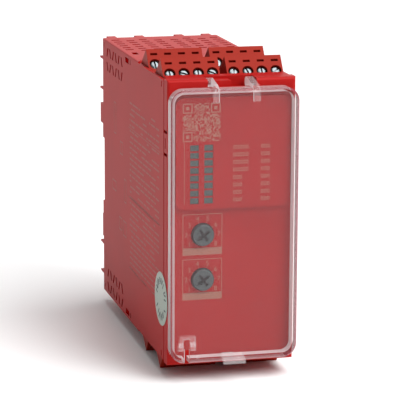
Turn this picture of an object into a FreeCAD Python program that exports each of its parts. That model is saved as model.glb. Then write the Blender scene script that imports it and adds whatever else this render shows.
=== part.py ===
"""Parametric model of a 45 mm wide safety relay for a 35 mm top-hat rail.

Every piece is drawn in the housing's own axes: X across the front, Y from the
front face to the rear wall, Z up from the housing's lower edge.  The finished
pieces are then placed so that the document's origin lies on the rail seat, at
the rail's centre line.
"""
import FreeCAD, Part
import math
import os
import Sketcher
from FreeCAD import Placement, Rotation, Vector

DIMENSIONS = [
    # housing
    ("width", 45.0, "housing width"),
    ("height", 99.0, "housing height"),
    ("depth", 108.5, "front face to rear wall"),
    ("side_wall", 1.0, "side wall thickness"),
    ("top_wall", 1.6, "top and bottom wall thickness"),
    ("rear_wall", 1.8, "rear wall thickness"),
    ("front_wall", 1.8, "front wall thickness"),
    ("fixed_gap", 0.2, "gap between pieces that are fixed together"),
    ("moving_gap", 0.3, "gap round a piece that slides or swings"),
    ("running_gap", 0.05, "radial clearance of a pin or shaft in its bore"),
    ("edge_radius", 0.5, "rounding of the housing's long edges"),
    ("wall_step_y", 46.0, "where the side wall's edge steps down"),
    ("wall_step", 0.6, "drop of that step"),
    ("deck_end", 50.0, "front edge of the top and bottom walls"),
    # rail seat
    ("rail_centre", 48.2, "height of the rail's centre line"),
    ("rail_width", 35.0, "rail width"),
    ("rail_play", 0.5, "play of the rail between hook and foot"),
    ("rail_flange", 1.0, "thickness of the rail's flange"),
    ("seat_y", 109.0, "plane that the rail's flanges bear on"),
    ("seat_pad", 5.3, "height of each bearing pad"),
    ("seat_recess", 2.6, "relief between the pads"),
    ("hook_height", 7.5, "height of the fixed hook"),
    ("hook_reach", 4.5, "reach of the hook past the seat"),
    ("hook_lip", 2.0, "overlap of the hook on the rail's flange"),
    ("hook_width", 30.0, "width of the hook's lip"),
    ("sill_height", 8.8, "height of the sill under the rail"),
    ("sill_reach", 1.0, "reach of that sill past the seat"),
    # rear teeth and tabs
    ("tooth_reach", 5.5, "reach of the teeth past the rear wall"),
    ("tooth_height", 1.5, "height of a tooth at its root"),
    ("tooth_tip", 0.7, "height of a tooth at its tip"),
    ("tooth_outer", 7.4, "outer tooth's distance from the housing's edge"),
    ("tooth_inner", 19.2, "inner tooth's distance from the housing's edge"),
    ("tab_width", 3.3, "width of a rear tab"),
    ("rear_reach", 4.3, "reach of the rear tabs past the rear wall"),
    ("tab_inner", 7.8, "inner tab's distance from the middle"),
    ("tab_outer", 18.6, "outer tab's distance from the middle"),
    # vents
    ("vent_y", 74.2, "middle of the first side slit"),
    ("vent_pitch", 5.15, "pitch of the side slits"),
    ("vent_pairs", 3, "pairs of side slits in a row"),
    ("slit_width", 1.5, "width of a side slit"),
    ("slit_height", 3.4, "height of a side slit"),
    ("slit_lean", 1.9, "sideways lean of a slit over its height"),
    ("slit_row_outer", 1.7, "outer row's distance from the edge"),
    ("slit_row_inner", 7.2, "inner row's distance from the edge"),
    ("slit_drop", 0.9, "extra distance of the upper rows from the edge"),
    ("slot_length", 3.0, "length of a top slot"),
    ("slot_width", 1.6, "width of a top slot"),
    ("slot_y", 72.0, "first row of top slots"),
    ("slot_pitch", 5.2, "pitch of the rows of top slots"),
    ("slot_rows", 6, "rows of top slots"),
    ("column_first", 3.2, "first column of slots from the middle"),
    ("column_pitch", 5.33, "pitch of the columns of slots"),
    # snap windows
    ("snap_y", 61.7, "front edge of the snap windows"),
    ("snap_length", 5.7, "length of a snap window"),
    ("snap_height", 1.9, "height of a side snap window"),
    ("snap_edge", 1.4, "snap window's distance from the housing's edge"),
    ("pip_length", 1.0, "length of a small side hole"),
    # front cap
    ("skirt_depth", 5.3, "depth of the cap's side skirts"),
    ("skirt_inset", 0.1, "skirt set back from the housing's side"),
    ("skirt_wall", 1.3, "skirt thickness"),
    ("front_radius", 1.2, "rounding of the cap's front edge"),
    ("panel_width", 39.8, "width of the raised display panel"),
    ("panel_low", 54.8, "lower edge of the display panel"),
    ("panel_high", 93.2, "upper edge of the display panel"),
    ("panel_rise", 1.5, "rise of the display panel"),
    ("panel_radius", 3.0, "corner radius of the display panel"),
    ("window_width", 3.1, "width of a status window"),
    ("window_height", 2.1, "height of a status window"),
    ("window_pitch", 2.6, "pitch of the status windows"),
    ("window_rows", 8, "status windows in a column"),
    ("window_top", 77.0, "upper edge of the first status window"),
    ("window_left", -13.4, "middle of the left column"),
    ("window_right", -8.45, "middle of the right column"),
    ("snap_slot_low", 72.8, "lower slot of the skirt's snap"),
    ("snap_slot_high", 80.6, "upper slot of the skirt's snap"),
    # hinge
    ("hinge_y", 4.2, "hinge axis behind the front face"),
    ("hinge_z", 97.0, "height of the hinge axis"),
    ("hinge_pin", 0.95, "radius of the hinge pins"),
    ("hinge_eye", 1.9, "radius of the hinge eyes"),
    ("arm_width", 2.3, "width of a hinge arm"),
    ("recess_half", 8.5, "half width of the hinge recess"),
    ("recess_back", 6.7, "rear edge of the hinge recess"),
    ("recess_floor", 94.4, "floor of the hinge recess"),
    ("recess_sill", 96.2, "front wall's height in the recess"),
    ("bearing_wall", 2.2, "width of the bearing at each side of the recess"),
    # cover
    ("cover_width", 44.6, "cover width"),
    ("cover_low", 1.9, "lower edge of the cover"),
    ("cover_high", 96.3, "upper edge of the cover"),
    ("cover_depth", 4.9, "depth of the cover's tray"),
    ("cover_plate", 1.2, "thickness of the cover's plate"),
    ("cover_rim", 1.5, "thickness of the cover's rim"),
    ("cover_radius", 4.9, "corner radius of the cover"),
    ("cover_bevel", 0.7, "bevel of the cover's front edge"),
    ("arm_rise", 0.8, "rise of a hinge arm above the cover's plate"),
    ("arm_end", 92.0, "lower end of the hinge arms"),
    ("arm_flat", 0.8, "flat of a hinge arm in front of its eye's top"),
    ("seal_left", -20.2, "left side of the sealing loop"),
    ("seal_right", -14.0, "right side of the sealing loop"),
    ("seal_low", 6.9, "lower end of the sealing loop"),
    ("seal_high", 11.9, "upper end of the sealing loop"),
    ("seal_bar", 1.9, "width of the sealing loop's legs"),
    ("seal_taper", 0.8, "narrowing of the sealing loop towards its top"),
    ("seal_bridge", 1.1, "height of the bar between the legs"),
    ("seal_reach", 1.9, "reach of the sealing loop"),
    ("seal_hole", 0.7, "half width of the hole for the sealing wire"),
    ("notch_x", -16.6, "middle of the notch below the sealing loop"),
    ("notch_width", 1.7, "width of that notch"),
    ("pip_x", -13.1, "middle of the moulding pip"),
    ("pip_z", 4.1, "height of the moulding pip"),
    ("pip_radius", 0.65, "radius of the moulding pip"),
    ("pip_rise", 0.5, "rise of the moulding pip"),
    ("tab_left", -4.9, "left side of the finger tab"),
    ("tab_right", 2.8, "right side of the finger tab"),
    ("tab_high", 5.0, "upper edge of the finger tab at the cover"),
    ("tab_fall", 1.4, "fall of the finger tab to its lip"),
    ("tab_drop", 2.2, "lower edge of the finger tab's lip"),
    ("tab_reach", 4.9, "reach of the finger tab past the cover"),
    ("tab_wall", 0.9, "thickness of the finger tab"),
    ("tongue_z", 2.3, "height of the latch tongue"),
    ("tongue_height", 1.0, "thickness of the latch tongue"),
    ("tongue_reach", 2.0, "reach of the tongue into the cap"),
    # selectors
    ("knob_x", -10.1, "middle of the selectors"),
    ("knob_upper", 45.7, "height of the upper selector"),
    ("knob_lower", 30.0, "height of the lower selector"),
    ("knob_radius", 3.75, "selector radius"),
    ("knob_rise", 1.7, "rise of a selector above the front"),
    ("knob_bevel", 0.35, "bevel of a selector's edge"),
    ("knob_seat", 1.5, "depth of the selector's head behind the front"),
    ("shaft_radius", 1.5, "selector shaft radius"),
    ("shaft_end", 5.4, "rear end of the selector shaft"),
    ("cross_width", 0.9, "width of the screwdriver cross"),
    ("cross_length", 4.6, "length of the screwdriver cross"),
    ("cross_depth", 0.9, "depth of the screwdriver cross"),
    ("switch_side", 10.0, "side of a rotary switch body"),
    # terminals
    ("tilt", 38.0, "lean of the plugs, in degrees from upright"),
    ("module_pitch", 22.5, "pitch of the plugs across the front"),
    ("row_pitch", 22.5, "pitch of the two rows of plugs"),
    ("tip_y", 16.0, "front row's upper edge behind the front face"),
    ("tip_rise", 5.3, "rise of the plugs above the housing"),
    ("pole_pitch", 5.0, "pitch of the terminals"),
    ("poles", 4, "terminals in a plug"),
    ("plug_width", 20.0, "plug width"),
    ("plug_thick", 10.5, "plug thickness"),
    ("plug_body", 11.0, "length of the plug's body"),
    ("nose_length", 6.6, "length of the plug's nose"),
    ("nose_front", 1.6, "nose set back from the screw face"),
    ("nose_back", 1.3, "nose set back from the rear face"),
    ("plug_bevel", 0.8, "bevel of the plug's rear edge"),
    ("bore_radius", 1.95, "radius of a screw well"),
    ("bore_level", 6.0, "screw well below the plug's upper edge"),
    ("slit_level", 1.6, "test slot below the plug's upper edge"),
    ("test_width", 2.5, "width of a test slot"),
    ("test_height", 0.9, "height of a test slot"),
    ("test_depth", 1.5, "depth of a test slot"),
    ("chamber_width", 4.1, "width of a clamp chamber"),
    ("chamber_front", 2.6, "front of the clamp chambers"),
    ("chamber_back", 8.2, "back of the clamp chambers"),
    ("chamber_top", 2.2, "chamber below the wire face"),
    ("entry_width", 3.4, "width of a wire entry"),
    ("entry_front", 3.5, "front of the wire entries"),
    ("entry_back", 7.3, "back of the wire entries"),
    ("cage_wall", 0.5, "wall of a clamp cage"),
    ("cage_length", 7.0, "length of a clamp cage"),
    ("cage_gap", 0.2, "play of a cage in its chamber"),
    ("blade_thick", 0.4, "thickness of a contact blade"),
    ("blade_width", 2.4, "width of a contact blade"),
    ("blade_end", 16.8, "lower end of the contact blades"),
    ("head_radius", 1.8, "screw head radius"),
    ("head_sink", 0.4, "screw head below the screw face"),
    ("head_height", 1.6, "screw head height"),
    ("thread_radius", 1.25, "screw shank radius"),
    ("screw_end", 6.4, "end of the screw"),
    ("drive_width", 0.6, "width of the screw slot"),
    ("drive_depth", 0.8, "depth of the screw slot"),
    ("deck_wall", 1.3, "wall of the terminal deck"),
    ("deck_drop", 2.2, "middle deck below the housing's edge"),
    ("trough_depth", 20.0, "depth of the plug troughs"),
    ("deck_lip", 6.0, "deck's tongue under the top wall"),
    ("divider", 1.9, "rib between neighbouring plugs"),
    ("header_wall", 1.0, "wall of a pin header"),
    ("header_base", 1.4, "base of a pin header"),
    ("header_inset", 0.6, "header's end inside the plug's side"),
    ("pin_side", 0.8, "side of a contact pin"),
    ("pin_top", 12.2, "pin's tip below the plug's upper edge"),
    ("pin_tail", 1.0, "pin beyond the terminal board"),
    # circuit boards and what they carry
    ("board", 1.6, "circuit board thickness"),
    ("terminal_board_z", 79.6, "upper face of the upper terminal board"),
    ("terminal_board_y", 3.2, "front edge of the terminal boards"),
    ("front_board_y", 7.0, "front face of the front board"),
    ("main_board_x", -20.9, "outer face of the main board"),
    ("logic_board_x", 15.5, "inner face of the logic board"),
    ("board_front", 12.0, "front edge of the upright boards"),
    ("board_rear", 103.9, "rear edge of the upright boards"),
    ("relay_length", 29.0, "relay length"),
    ("relay_width", 12.6, "relay width"),
    ("relay_tall", 25.0, "relay height above its board"),
    ("relay_bevel", 0.6, "bevel of a relay's upper edges"),
    ("relay_y", 54.0, "front of the relays"),
    ("relay_pitch", 14.2, "pitch of the relays"),
    ("relay_count", 4, "number of relays"),
    ("relay_low", 21.0, "lower edge of the lowest relay"),
    ("led_side", 1.2, "side of an indicator diode"),
    ("led_tall", 0.8, "height of an indicator diode"),
    ("coil_width", 16.0, "transformer width"),
    ("coil_tall", 12.0, "transformer height"),
    ("can_radius", 5.0, "capacitor radius"),
    ("can_length", 11.0, "capacitor length"),
    ("can_pitch", 12.0, "pitch of the capacitors"),
    # rail foot
    ("foot_width", 10.0, "width of the rail foot"),
    ("foot_wing", 1.8, "foot's guide wing at each side"),
    ("foot_back", 1.4, "depth of the guide groove"),
    ("foot_thick", 2.5, "thickness of the foot"),
    ("channel_y", 106.8, "floor of the foot's channel"),
    ("foot_tail", 2.0, "foot's tail below the housing"),
    ("foot_reach", 4.5, "reach of the foot's nose past the seat"),
    ("foot_lip", 2.4, "overlap of the foot on the rail's flange"),
    ("spring_low", 13.0, "lower seat of the foot's spring"),
    ("spring_high", 25.4, "upper seat of the foot's spring"),
    ("spring_width", 1.4, "width of the folded flat spring"),
    ("spring_reach", 1.1, "reach of a fold from the spring's middle"),
    ("spring_strip", 0.5, "height of the spring's strip"),
    ("spring_folds", 6, "folds of the spring"),
    ("foot_window", 3.0, "width of the spring's window"),
    ("window_end", 8.6, "lower end of the spring's window"),
    # label
    ("label_radius", 9.4, "radius of the round label"),
    ("label_thick", 0.12, "thickness of the round label"),
    ("label_y", 9.1, "middle of the label behind the front face"),
    ("label_z", 21.6, "height of the label's middle"),
]

SCREW_TURNS = {
    "top_front_left": (92, 160, 88, 155),
    "top_front_right": (75, 108, 90, 40),
    "top_rear_left": (96, 30, 70, 140),
    "top_rear_right": (86, 120, 15, 60),
}
OTHER_TURNS = (20, 75, 130, 165)
SELECTOR_START = 216.0

# Sides of the prisms that stand for small round forms.
KNOB_SIDES = 32
CAN_SIDES = 24
SMALL_SIDES = 12
SHANK_SIDES = 6

doc = FreeCAD.newDocument("SafetyRelay")
sheet = doc.addObject("Spreadsheet::Sheet", "Sizes")


class Size:
    """A length that knows its value and the sheet formula that drives it."""

    def __init__(self, value, formula):
        self.value = value
        self.formula = formula

    def combine(self, other, value, sign, swap=False):
        left, right = (as_size(other), self) if swap else (self, as_size(other))
        return Size(value, f"({left.formula} {sign} {right.formula})")

    def __add__(self, other):
        return self.combine(other, self.value + as_size(other).value, "+")

    def __radd__(self, other):
        return self.combine(other, as_size(other).value + self.value, "+", True)

    def __sub__(self, other):
        return self.combine(other, self.value - as_size(other).value, "-")

    def __rsub__(self, other):
        return self.combine(other, as_size(other).value - self.value, "-", True)

    def __mul__(self, other):
        return self.combine(other, self.value * as_size(other).value, "*")

    def __rmul__(self, other):
        return self.combine(other, as_size(other).value * self.value, "*", True)

    def __truediv__(self, other):
        return self.combine(other, self.value / as_size(other).value, "/")

    def __neg__(self):
        return Size(-self.value, f"(0 - {self.formula})")


def as_size(number):
    """A plain number as a Size, so that both can be added."""
    if isinstance(number, Size):
        return number
    return Size(float(number), f"({float(number)})")


def sine(angle):
    return Size(math.sin(math.radians(angle.value)), f"sin({angle.formula})")


def cosine(angle):
    return Size(math.cos(math.radians(angle.value)), f"cos({angle.formula})")


class Sizes:
    """The driving dimensions, by name."""

    def __init__(self, dimensions):
        for row, (alias, value, note) in enumerate(dimensions, start=1):
            sheet.set(f"A{row}", note)
            sheet.set(f"B{row}", str(value))
            sheet.setAlias(f"B{row}", alias)
            setattr(self, alias, Size(float(value), f"Sizes.{alias}"))


s = Sizes(DIMENSIONS)
doc.recompute()


# ---------------------------------------------------------------- sketching

def hold(sketch, kind, where, size):
    """Bind one sketch constraint to a size."""
    size = as_size(size)
    index = sketch.addConstraint(Sketcher.Constraint(kind, *where, size.value))
    sketch.setExpression(f"Constraints[{index}]", size.formula)


def hold_point(sketch, geometry, end, corner):
    hold(sketch, "DistanceX", (-1, 1, geometry, end), corner[0])
    hold(sketch, "DistanceY", (-1, 1, geometry, end), corner[1])


def plane_point(corner):
    return Vector(as_size(corner[0]).value, as_size(corner[1]).value, 0)


def polygon(*corners):
    """A closed outline with straight sides."""
    def draw(sketch):
        count = len(corners)
        first = sketch.GeometryCount
        for index in range(count):
            start = plane_point(corners[index])
            end = plane_point(corners[(index + 1) % count])
            sketch.addGeometry(Part.LineSegment(start, end), False)
        for index in range(count):
            following = first + (index + 1) % count
            sketch.addConstraint(Sketcher.Constraint("Coincident", first + index, 2, following, 1))
        for index, corner in enumerate(corners):
            hold_point(sketch, first + index, 1, corner)
    return draw


def rectangle(left, right, low, high):
    return polygon((left, low), (right, low), (right, high), (left, high))


def circle(across, up, radius):
    """A full circle about a point of the sketch."""
    def draw(sketch):
        centre = plane_point((across, up))
        ring = Part.Circle(centre, Vector(0, 0, 1), as_size(radius).value)
        index = sketch.addGeometry(ring, False)
        hold_point(sketch, index, 3, (across, up))
        hold(sketch, "Radius", (index,), radius)
    return draw


def ring(across, up, radius, sides):
    """A regular polygon about a point of the sketch, for small round forms."""
    corners = []
    for index in range(sides):
        angle = math.tau * (index + 0.5) / sides
        corners.append((across + radius * math.cos(angle), up + radius * math.sin(angle)))
    return polygon(*corners)


def round_rectangle(left, right, low, high, radius):
    """A rectangle with a quarter circle at each corner."""
    def draw(sketch):
        sides = [
            ((left + radius, low), (right - radius, low)),
            ((right, low + radius), (right, high - radius)),
            ((right - radius, high), (left + radius, high)),
            ((left, high - radius), (left, low + radius)),
        ]
        centres = [
            (right - radius, low + radius), (right - radius, high - radius),
            (left + radius, high - radius), (left + radius, low + radius),
        ]
        first = sketch.GeometryCount
        for start, end in sides:
            sketch.addGeometry(Part.LineSegment(plane_point(start), plane_point(end)), False)
        for turn, centre in enumerate(centres):
            ring = Part.Circle(plane_point(centre), Vector(0, 0, 1), as_size(radius).value)
            begin = math.radians(90 * (turn - 1))
            sketch.addGeometry(Part.ArcOfCircle(ring, begin, begin + math.pi / 2), False)
        for turn, (start, end) in enumerate(sides):
            hold_point(sketch, first + turn, 1, start)
            hold_point(sketch, first + turn, 2, end)
        for turn in range(4):
            arc = first + 4 + turn
            sketch.addConstraint(Sketcher.Constraint("Coincident", first + turn, 2, arc, 1))
            after = first + (turn + 1) % 4
            sketch.addConstraint(Sketcher.Constraint("Coincident", arc, 2, after, 1))
            hold(sketch, "Radius", (arc,), radius)
    return draw


def new_body(label):
    body = doc.addObject("PartDesign::Body", label)
    body.Label = label
    return body


def new_sketch(body, plane, level, outlines):
    """A sketch parallel to an origin plane, at a level along its axis."""
    sketch = body.newObject("Sketcher::SketchObject", "Sketch")
    support = [item for item in body.Origin.OriginFeatures if item.Role == plane + "_Plane"]
    sketch.AttachmentSupport = [(support[0], "")]
    sketch.MapMode = "FlatFace"
    level = as_size(level)
    if plane == "XZ":
        level = -level
    sketch.setExpression("AttachmentOffset.Base.z", level.formula)
    for outline in outlines:
        outline(sketch)
    sketch.Visibility = False
    return sketch


def extrude(kind, body, plane, low, high, outlines):
    """Pad or pocket between two levels of the plane's axis."""
    low, high = as_size(low), as_size(high)
    backwards = plane == "XZ"
    if kind == "Pocket":
        backwards = not backwards
    sketch = new_sketch(body, plane, high if backwards else low, outlines)
    feature = body.newObject("PartDesign::" + kind, kind)
    feature.Profile = sketch
    feature.setExpression("Length", (high - low).formula)
    return feature


def pad(body, plane, low, high, *outlines):
    return extrude("Pad", body, plane, low, high, outlines)


def pocket(body, plane, low, high, *outlines):
    return extrude("Pocket", body, plane, low, high, outlines)


def repeat(body, feature, axis, spacing, count):
    """Repeat a feature along one axis of its sketch."""
    pattern = body.newObject("PartDesign::LinearPattern", "Pattern")
    pattern.Originals = [feature]
    pattern.Direction = (feature.Profile[0], [axis])
    count, spacing = as_size(count), as_size(spacing)
    pattern.setExpression("Length", (spacing * (count - 1)).formula)
    pattern.setExpression("Occurrences", count.formula)
    body.Tip = pattern
    return pattern


def fillet(body, feature, radius, chosen):
    """Round the edges of a feature that the test chooses."""
    doc.recompute()
    names = [f"Edge{number}" for number, edge in enumerate(feature.Shape.Edges, start=1)
             if chosen(edge)]
    rounding = body.newObject("PartDesign::Fillet", "Fillet")
    rounding.Base = (feature, names)
    rounding.setExpression("Radius", as_size(radius).formula)
    return rounding


def bevel(body, feature, size, chosen):
    """Chamfer the edges of a feature that the test chooses."""
    doc.recompute()
    names = [f"Edge{number}" for number, edge in enumerate(feature.Shape.Edges, start=1)
             if chosen(edge)]
    cut = body.newObject("PartDesign::Chamfer", "Chamfer")
    cut.Base = (feature, names)
    cut.setExpression("Size", as_size(size).formula)
    return cut


def lies_at(edge, **levels):
    """True where the whole edge lies at the given levels, such as y=0."""
    box = edge.BoundBox
    for axis, level in levels.items():
        value = as_size(level).value
        ends = (getattr(box, axis.upper() + "Min"), getattr(box, axis.upper() + "Max"))
        if max(abs(ends[0] - value), abs(ends[1] - value)) > 1e-4:
            return False
    return True


# ---------------------------------------------------------------- places

FRAME = Placement(Vector(0, -s.seat_y.value, -s.rail_centre.value), Rotation())
OVER = Placement(Vector(0, 0, s.height.value), Rotation(Vector(0, 1, 0), 180))

nodes = []
originals = {}


def finish(body, place=Placement()):
    """Put a finished piece in the document's frame and list it for export."""
    body.Placement = FRAME.multiply(place)
    nodes.append(body)


def mirrored(level):
    """The height that mirrors a height about the housing's middle."""
    return s.height - level


def both_ends(outline, *sizes):
    """An outline at the top and its mirror image at the bottom."""
    return outline(*sizes), outline(*sizes, mirror=True)


# Points of the leaning plugs: "along" runs up the plug, "inward" runs from
# its screw face to its back, both from the plug's upper front edge.

LEAN_SIN = sine(s.tilt)
LEAN_COS = cosine(s.tilt)
TIP_Z = s.height + s.tip_rise


def lean_point(row, along, inward):
    across = s.tip_y + s.row_pitch * row + LEAN_SIN * along + LEAN_COS * inward
    return across, TIP_Z + LEAN_COS * along - LEAN_SIN * inward


def lean_at(row, inward, level):
    """The point of a line along the plug that has a given height."""
    along = (as_size(level) - TIP_Z + LEAN_SIN * inward) / LEAN_COS
    return lean_point(row, along, inward)


# ---------------------------------------------------------------- housing shell

def shell_outline():
    """Side view of the shell, with the rail seat in its rear."""
    seat_top = s.rail_centre + (s.rail_width + s.rail_play) / 2
    seat_low = s.rail_centre - (s.rail_width + s.rail_play) / 2
    front = s.skirt_depth + s.moving_gap
    hook_y = s.seat_y + s.hook_reach
    relief = s.seat_y - s.seat_recess
    sill_y = s.seat_y + s.sill_reach
    return polygon(
        (front, s.wall_step), (s.wall_step_y, s.wall_step), (s.wall_step_y, 0), (s.depth, 0),
        (s.depth, seat_low - s.sill_height), (sill_y, seat_low - s.sill_height),
        (sill_y, seat_low), (s.seat_y, seat_low), (s.seat_y, seat_low + s.seat_pad),
        (relief, seat_low + s.seat_pad), (relief, seat_top - s.seat_pad),
        (s.seat_y, seat_top - s.seat_pad), (s.seat_y, seat_top), (hook_y, seat_top),
        (hook_y, seat_top + s.hook_height), (s.depth, seat_top + s.hook_height),
        (s.depth, s.height), (s.wall_step_y, s.height), (s.wall_step_y, mirrored(s.wall_step)),
        (front, mirrored(s.wall_step)))


def shell_cavity():
    """Side view of the hollow, open to the front and round the plugs."""
    deep = s.depth - s.rear_wall
    shallow = s.channel_y - s.rear_wall - s.running_gap
    step = s.rail_centre + s.rail_width / 2 + s.hook_height + s.rear_wall
    return polygon(
        (0, -1), (s.deck_end, -1), (s.deck_end, s.top_wall), (shallow, s.top_wall),
        (shallow, step), (deep, step), (deep, mirrored(s.top_wall)),
        (s.deck_end, mirrored(s.top_wall)), (s.deck_end, s.height + 1), (0, s.height + 1))


def leaning_slit(middle, low, lean):
    """One slanted side slit; lean is its sideways run over its height."""
    high, half = low + s.slit_height, s.slit_width / 2
    low_middle, high_middle = middle - lean / 2, middle + lean / 2
    return polygon((low_middle - half, low), (low_middle + half, low),
                   (high_middle + half, high), (high_middle - half, high))


def slit_rows():
    """The first pair of slits in each of the four rows."""
    upper = s.slit_drop + s.slit_height
    lows = [s.slit_row_outer, s.slit_row_inner,
            mirrored(s.slit_row_inner) - upper, mirrored(s.slit_row_outer) - upper]
    pairs = []
    for row, low in enumerate(lows):
        lean = s.slit_lean * (1 if row % 2 else -1)
        pairs.append(leaning_slit(s.vent_y, low, lean))
        pairs.append(leaning_slit(s.vent_y + s.vent_pitch, low, -lean))
    return pairs


def slot_columns():
    """One row of top slots, alternate columns set back by half a pitch."""
    slots = []
    for column in range(4):
        middle = s.column_first + s.column_pitch * column
        low = s.slot_y + s.slot_pitch * (0.5 * (column % 2))
        for side in (-1, 1):
            centre = middle * side
            slots.append(rectangle(centre - s.slot_length / 2, centre + s.slot_length / 2,
                                   low, low + s.slot_width))
    return slots


def side_windows():
    """Snap windows and small core holes near the top and bottom edges."""
    holes = []
    spots = [(s.snap_y, s.snap_length), (s.snap_y - 3, s.pip_length),
             (s.skirt_depth + 3, s.pip_length), (s.depth - 2.4, s.pip_length)]
    for start, length in spots:
        for low in (s.snap_edge, mirrored(s.snap_edge + s.snap_height)):
            holes.append(rectangle(start, start + length, low, low + s.snap_height))
    return holes


def rear_teeth():
    """Four thin teeth on the rear edge of a side wall, flat below."""
    teeth = []
    root, tip = s.depth - s.rear_wall / 2, s.depth + s.tooth_reach
    for level in (s.tooth_outer, s.tooth_inner, mirrored(s.tooth_inner), mirrored(s.tooth_outer)):
        low = level - s.tooth_height / 2
        teeth.append(polygon((root, low), (tip, low), (tip, low + s.tooth_tip),
                             (root, low + s.tooth_height)))
    return teeth


def make_housing_shell():
    body = new_body("housing_shell")
    half = s.width / 2
    inner = half - s.side_wall
    outline = pad(body, "YZ", -half, half, shell_outline())
    fillet(body, outline, s.edge_radius,
           lambda edge: (lies_at(edge, z=0) or lies_at(edge, z=s.height))
           and edge.BoundBox.YLength > s.width.value)
    pocket(body, "YZ", -inner, inner, shell_cavity())
    seat_top = s.rail_centre + (s.rail_width + s.rail_play) / 2
    lip_y = s.seat_y + s.rail_flange + s.moving_gap
    pad(body, "YZ", -s.hook_width / 2, s.hook_width / 2,
        polygon((lip_y, seat_top + 0.5), (lip_y, seat_top - s.hook_lip),
                (s.seat_y + s.hook_reach, seat_top), (s.seat_y + s.hook_reach, seat_top + 0.5)))
    for low in (-half, inner):
        pad(body, "YZ", low, low + s.side_wall, *rear_teeth())
    tab_end = s.depth + s.rear_reach
    for low in (as_size(0), mirrored(s.top_wall)):
        tabs = []
        for middle in (-s.tab_outer, -s.tab_inner, s.tab_inner, s.tab_outer):
            tabs.append(rectangle(middle - s.tab_width / 2, middle + s.tab_width / 2,
                                  s.depth - s.rear_wall / 2, tab_end))
        pad(body, "XY", low, low + s.top_wall, *tabs)
    slits = pocket(body, "YZ", -half - 1, half + 1, *slit_rows())
    repeat(body, slits, "H_Axis", s.vent_pitch * 2, s.vent_pairs)
    slots = pocket(body, "XY", -1, s.height + 1, *slot_columns())
    repeat(body, slots, "V_Axis", s.slot_pitch, s.slot_rows)
    pocket(body, "YZ", -half - 1, half + 1, *side_windows())
    square = (s.snap_y + 1.3, s.snap_y + 1.3 + s.snap_length - 1)
    window_x = inner - 3.2
    pocket(body, "XY", -1, s.height + 1,
           rectangle(-window_x - 2, -window_x, *square), rectangle(window_x, window_x + 2, *square))
    neck = s.foot_width / 2 + s.moving_gap
    wing = neck + s.foot_wing
    roof = s.rail_centre - s.rail_width / 2 + s.rail_play
    groove = s.channel_y + s.foot_back
    pocket(body, "XZ", s.channel_y, groove, rectangle(-wing, wing, -1, roof))
    pocket(body, "XZ", groove - 0.1, s.seat_y + s.hook_reach, rectangle(-neck, neck, -1, roof))
    lug = s.foot_window / 2 - s.moving_gap
    pad(body, "XZ", s.channel_y - 0.1, s.channel_y + s.foot_thick,
        rectangle(-lug, lug, s.spring_low - 1.6, s.spring_low))
    finish(body)


# ---------------------------------------------------------------- front cap

def deck_section(mirror=False):
    """Section of the stepped deck: ledge, two leaning troughs and tongue."""
    gap, wall = s.moving_gap, s.deck_wall
    back = s.plug_thick + gap
    floor = -s.trough_depth
    middle = s.height - s.deck_drop
    tongue = s.height - s.top_wall - s.fixed_gap
    corners = [
        (s.front_wall / 2, s.height), lean_at(0, -gap, s.height),
        lean_point(0, floor, -gap), lean_point(0, floor, back), lean_at(0, back, middle),
        lean_at(1, -gap, middle), lean_point(1, floor, -gap), lean_point(1, floor, back),
        lean_at(1, back, s.height), (s.deck_end - s.moving_gap, s.height),
        (s.deck_end - s.moving_gap, tongue), (s.deck_end + s.deck_lip, tongue),
        (s.deck_end + s.deck_lip, tongue - wall), lean_at(1, back + wall, tongue - wall),
        lean_point(1, floor - wall, back + wall), lean_point(1, floor - wall, -gap - wall),
        lean_at(1, -gap - wall, middle - wall), lean_at(0, back + wall, middle - wall),
        lean_point(0, floor - wall, back + wall), lean_point(0, floor - wall, -gap - wall),
        lean_at(0, -gap - wall, s.height - s.top_wall), (s.front_wall / 2, s.height - s.top_wall),
    ]
    return polygon(*flipped(corners, mirror))


def flipped(corners, mirror):
    """The corners, or their mirror image about the housing's middle."""
    if not mirror:
        return corners
    return [(across, mirrored(up)) for across, up in corners]


def divider_section(row, mirror=False):
    """Section of the rib that parts the left and right plugs of a row."""
    gap, wall = s.moving_gap, s.deck_wall
    floor = -s.trough_depth - wall / 2
    back = s.plug_thick + gap + wall / 2
    levels = (s.height, s.height - s.deck_drop)
    near, far = levels if row == 0 else levels[::-1]
    corners = [lean_at(row, -gap - wall / 2, near - wall / 2), lean_point(row, floor, -gap - wall / 2),
               lean_point(row, floor, back), lean_at(row, back, far - wall / 2)]
    return polygon(*flipped(corners, mirror))


def status_windows(margin):
    """Sixteen small rectangles in two columns of eight."""
    windows = []
    for middle in (s.window_left, s.window_right):
        for row in range(int(s.window_rows.value)):
            high = s.window_top - s.window_pitch * row - margin
            windows.append(rectangle(middle - s.window_width / 2 + margin,
                                     middle + s.window_width / 2 - margin,
                                     high - s.window_height + 2 * margin, high))
    return windows


def snap_arm(side, reach_end):
    """Plan of a snap arm under the top wall, hooked into the side wall."""
    outer = s.width / 2 - s.side_wall - s.fixed_gap
    inner = outer - 3.2
    hook = s.width / 2 - s.skirt_inset
    start = s.snap_y + s.fixed_gap
    root = s.deck_end + s.deck_lip - 0.5
    return polygon((inner * side, root), (outer * side, root), (outer * side, start),
                   (hook * side, start + 1.2), (hook * side, reach_end), (inner * side, reach_end))


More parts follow.
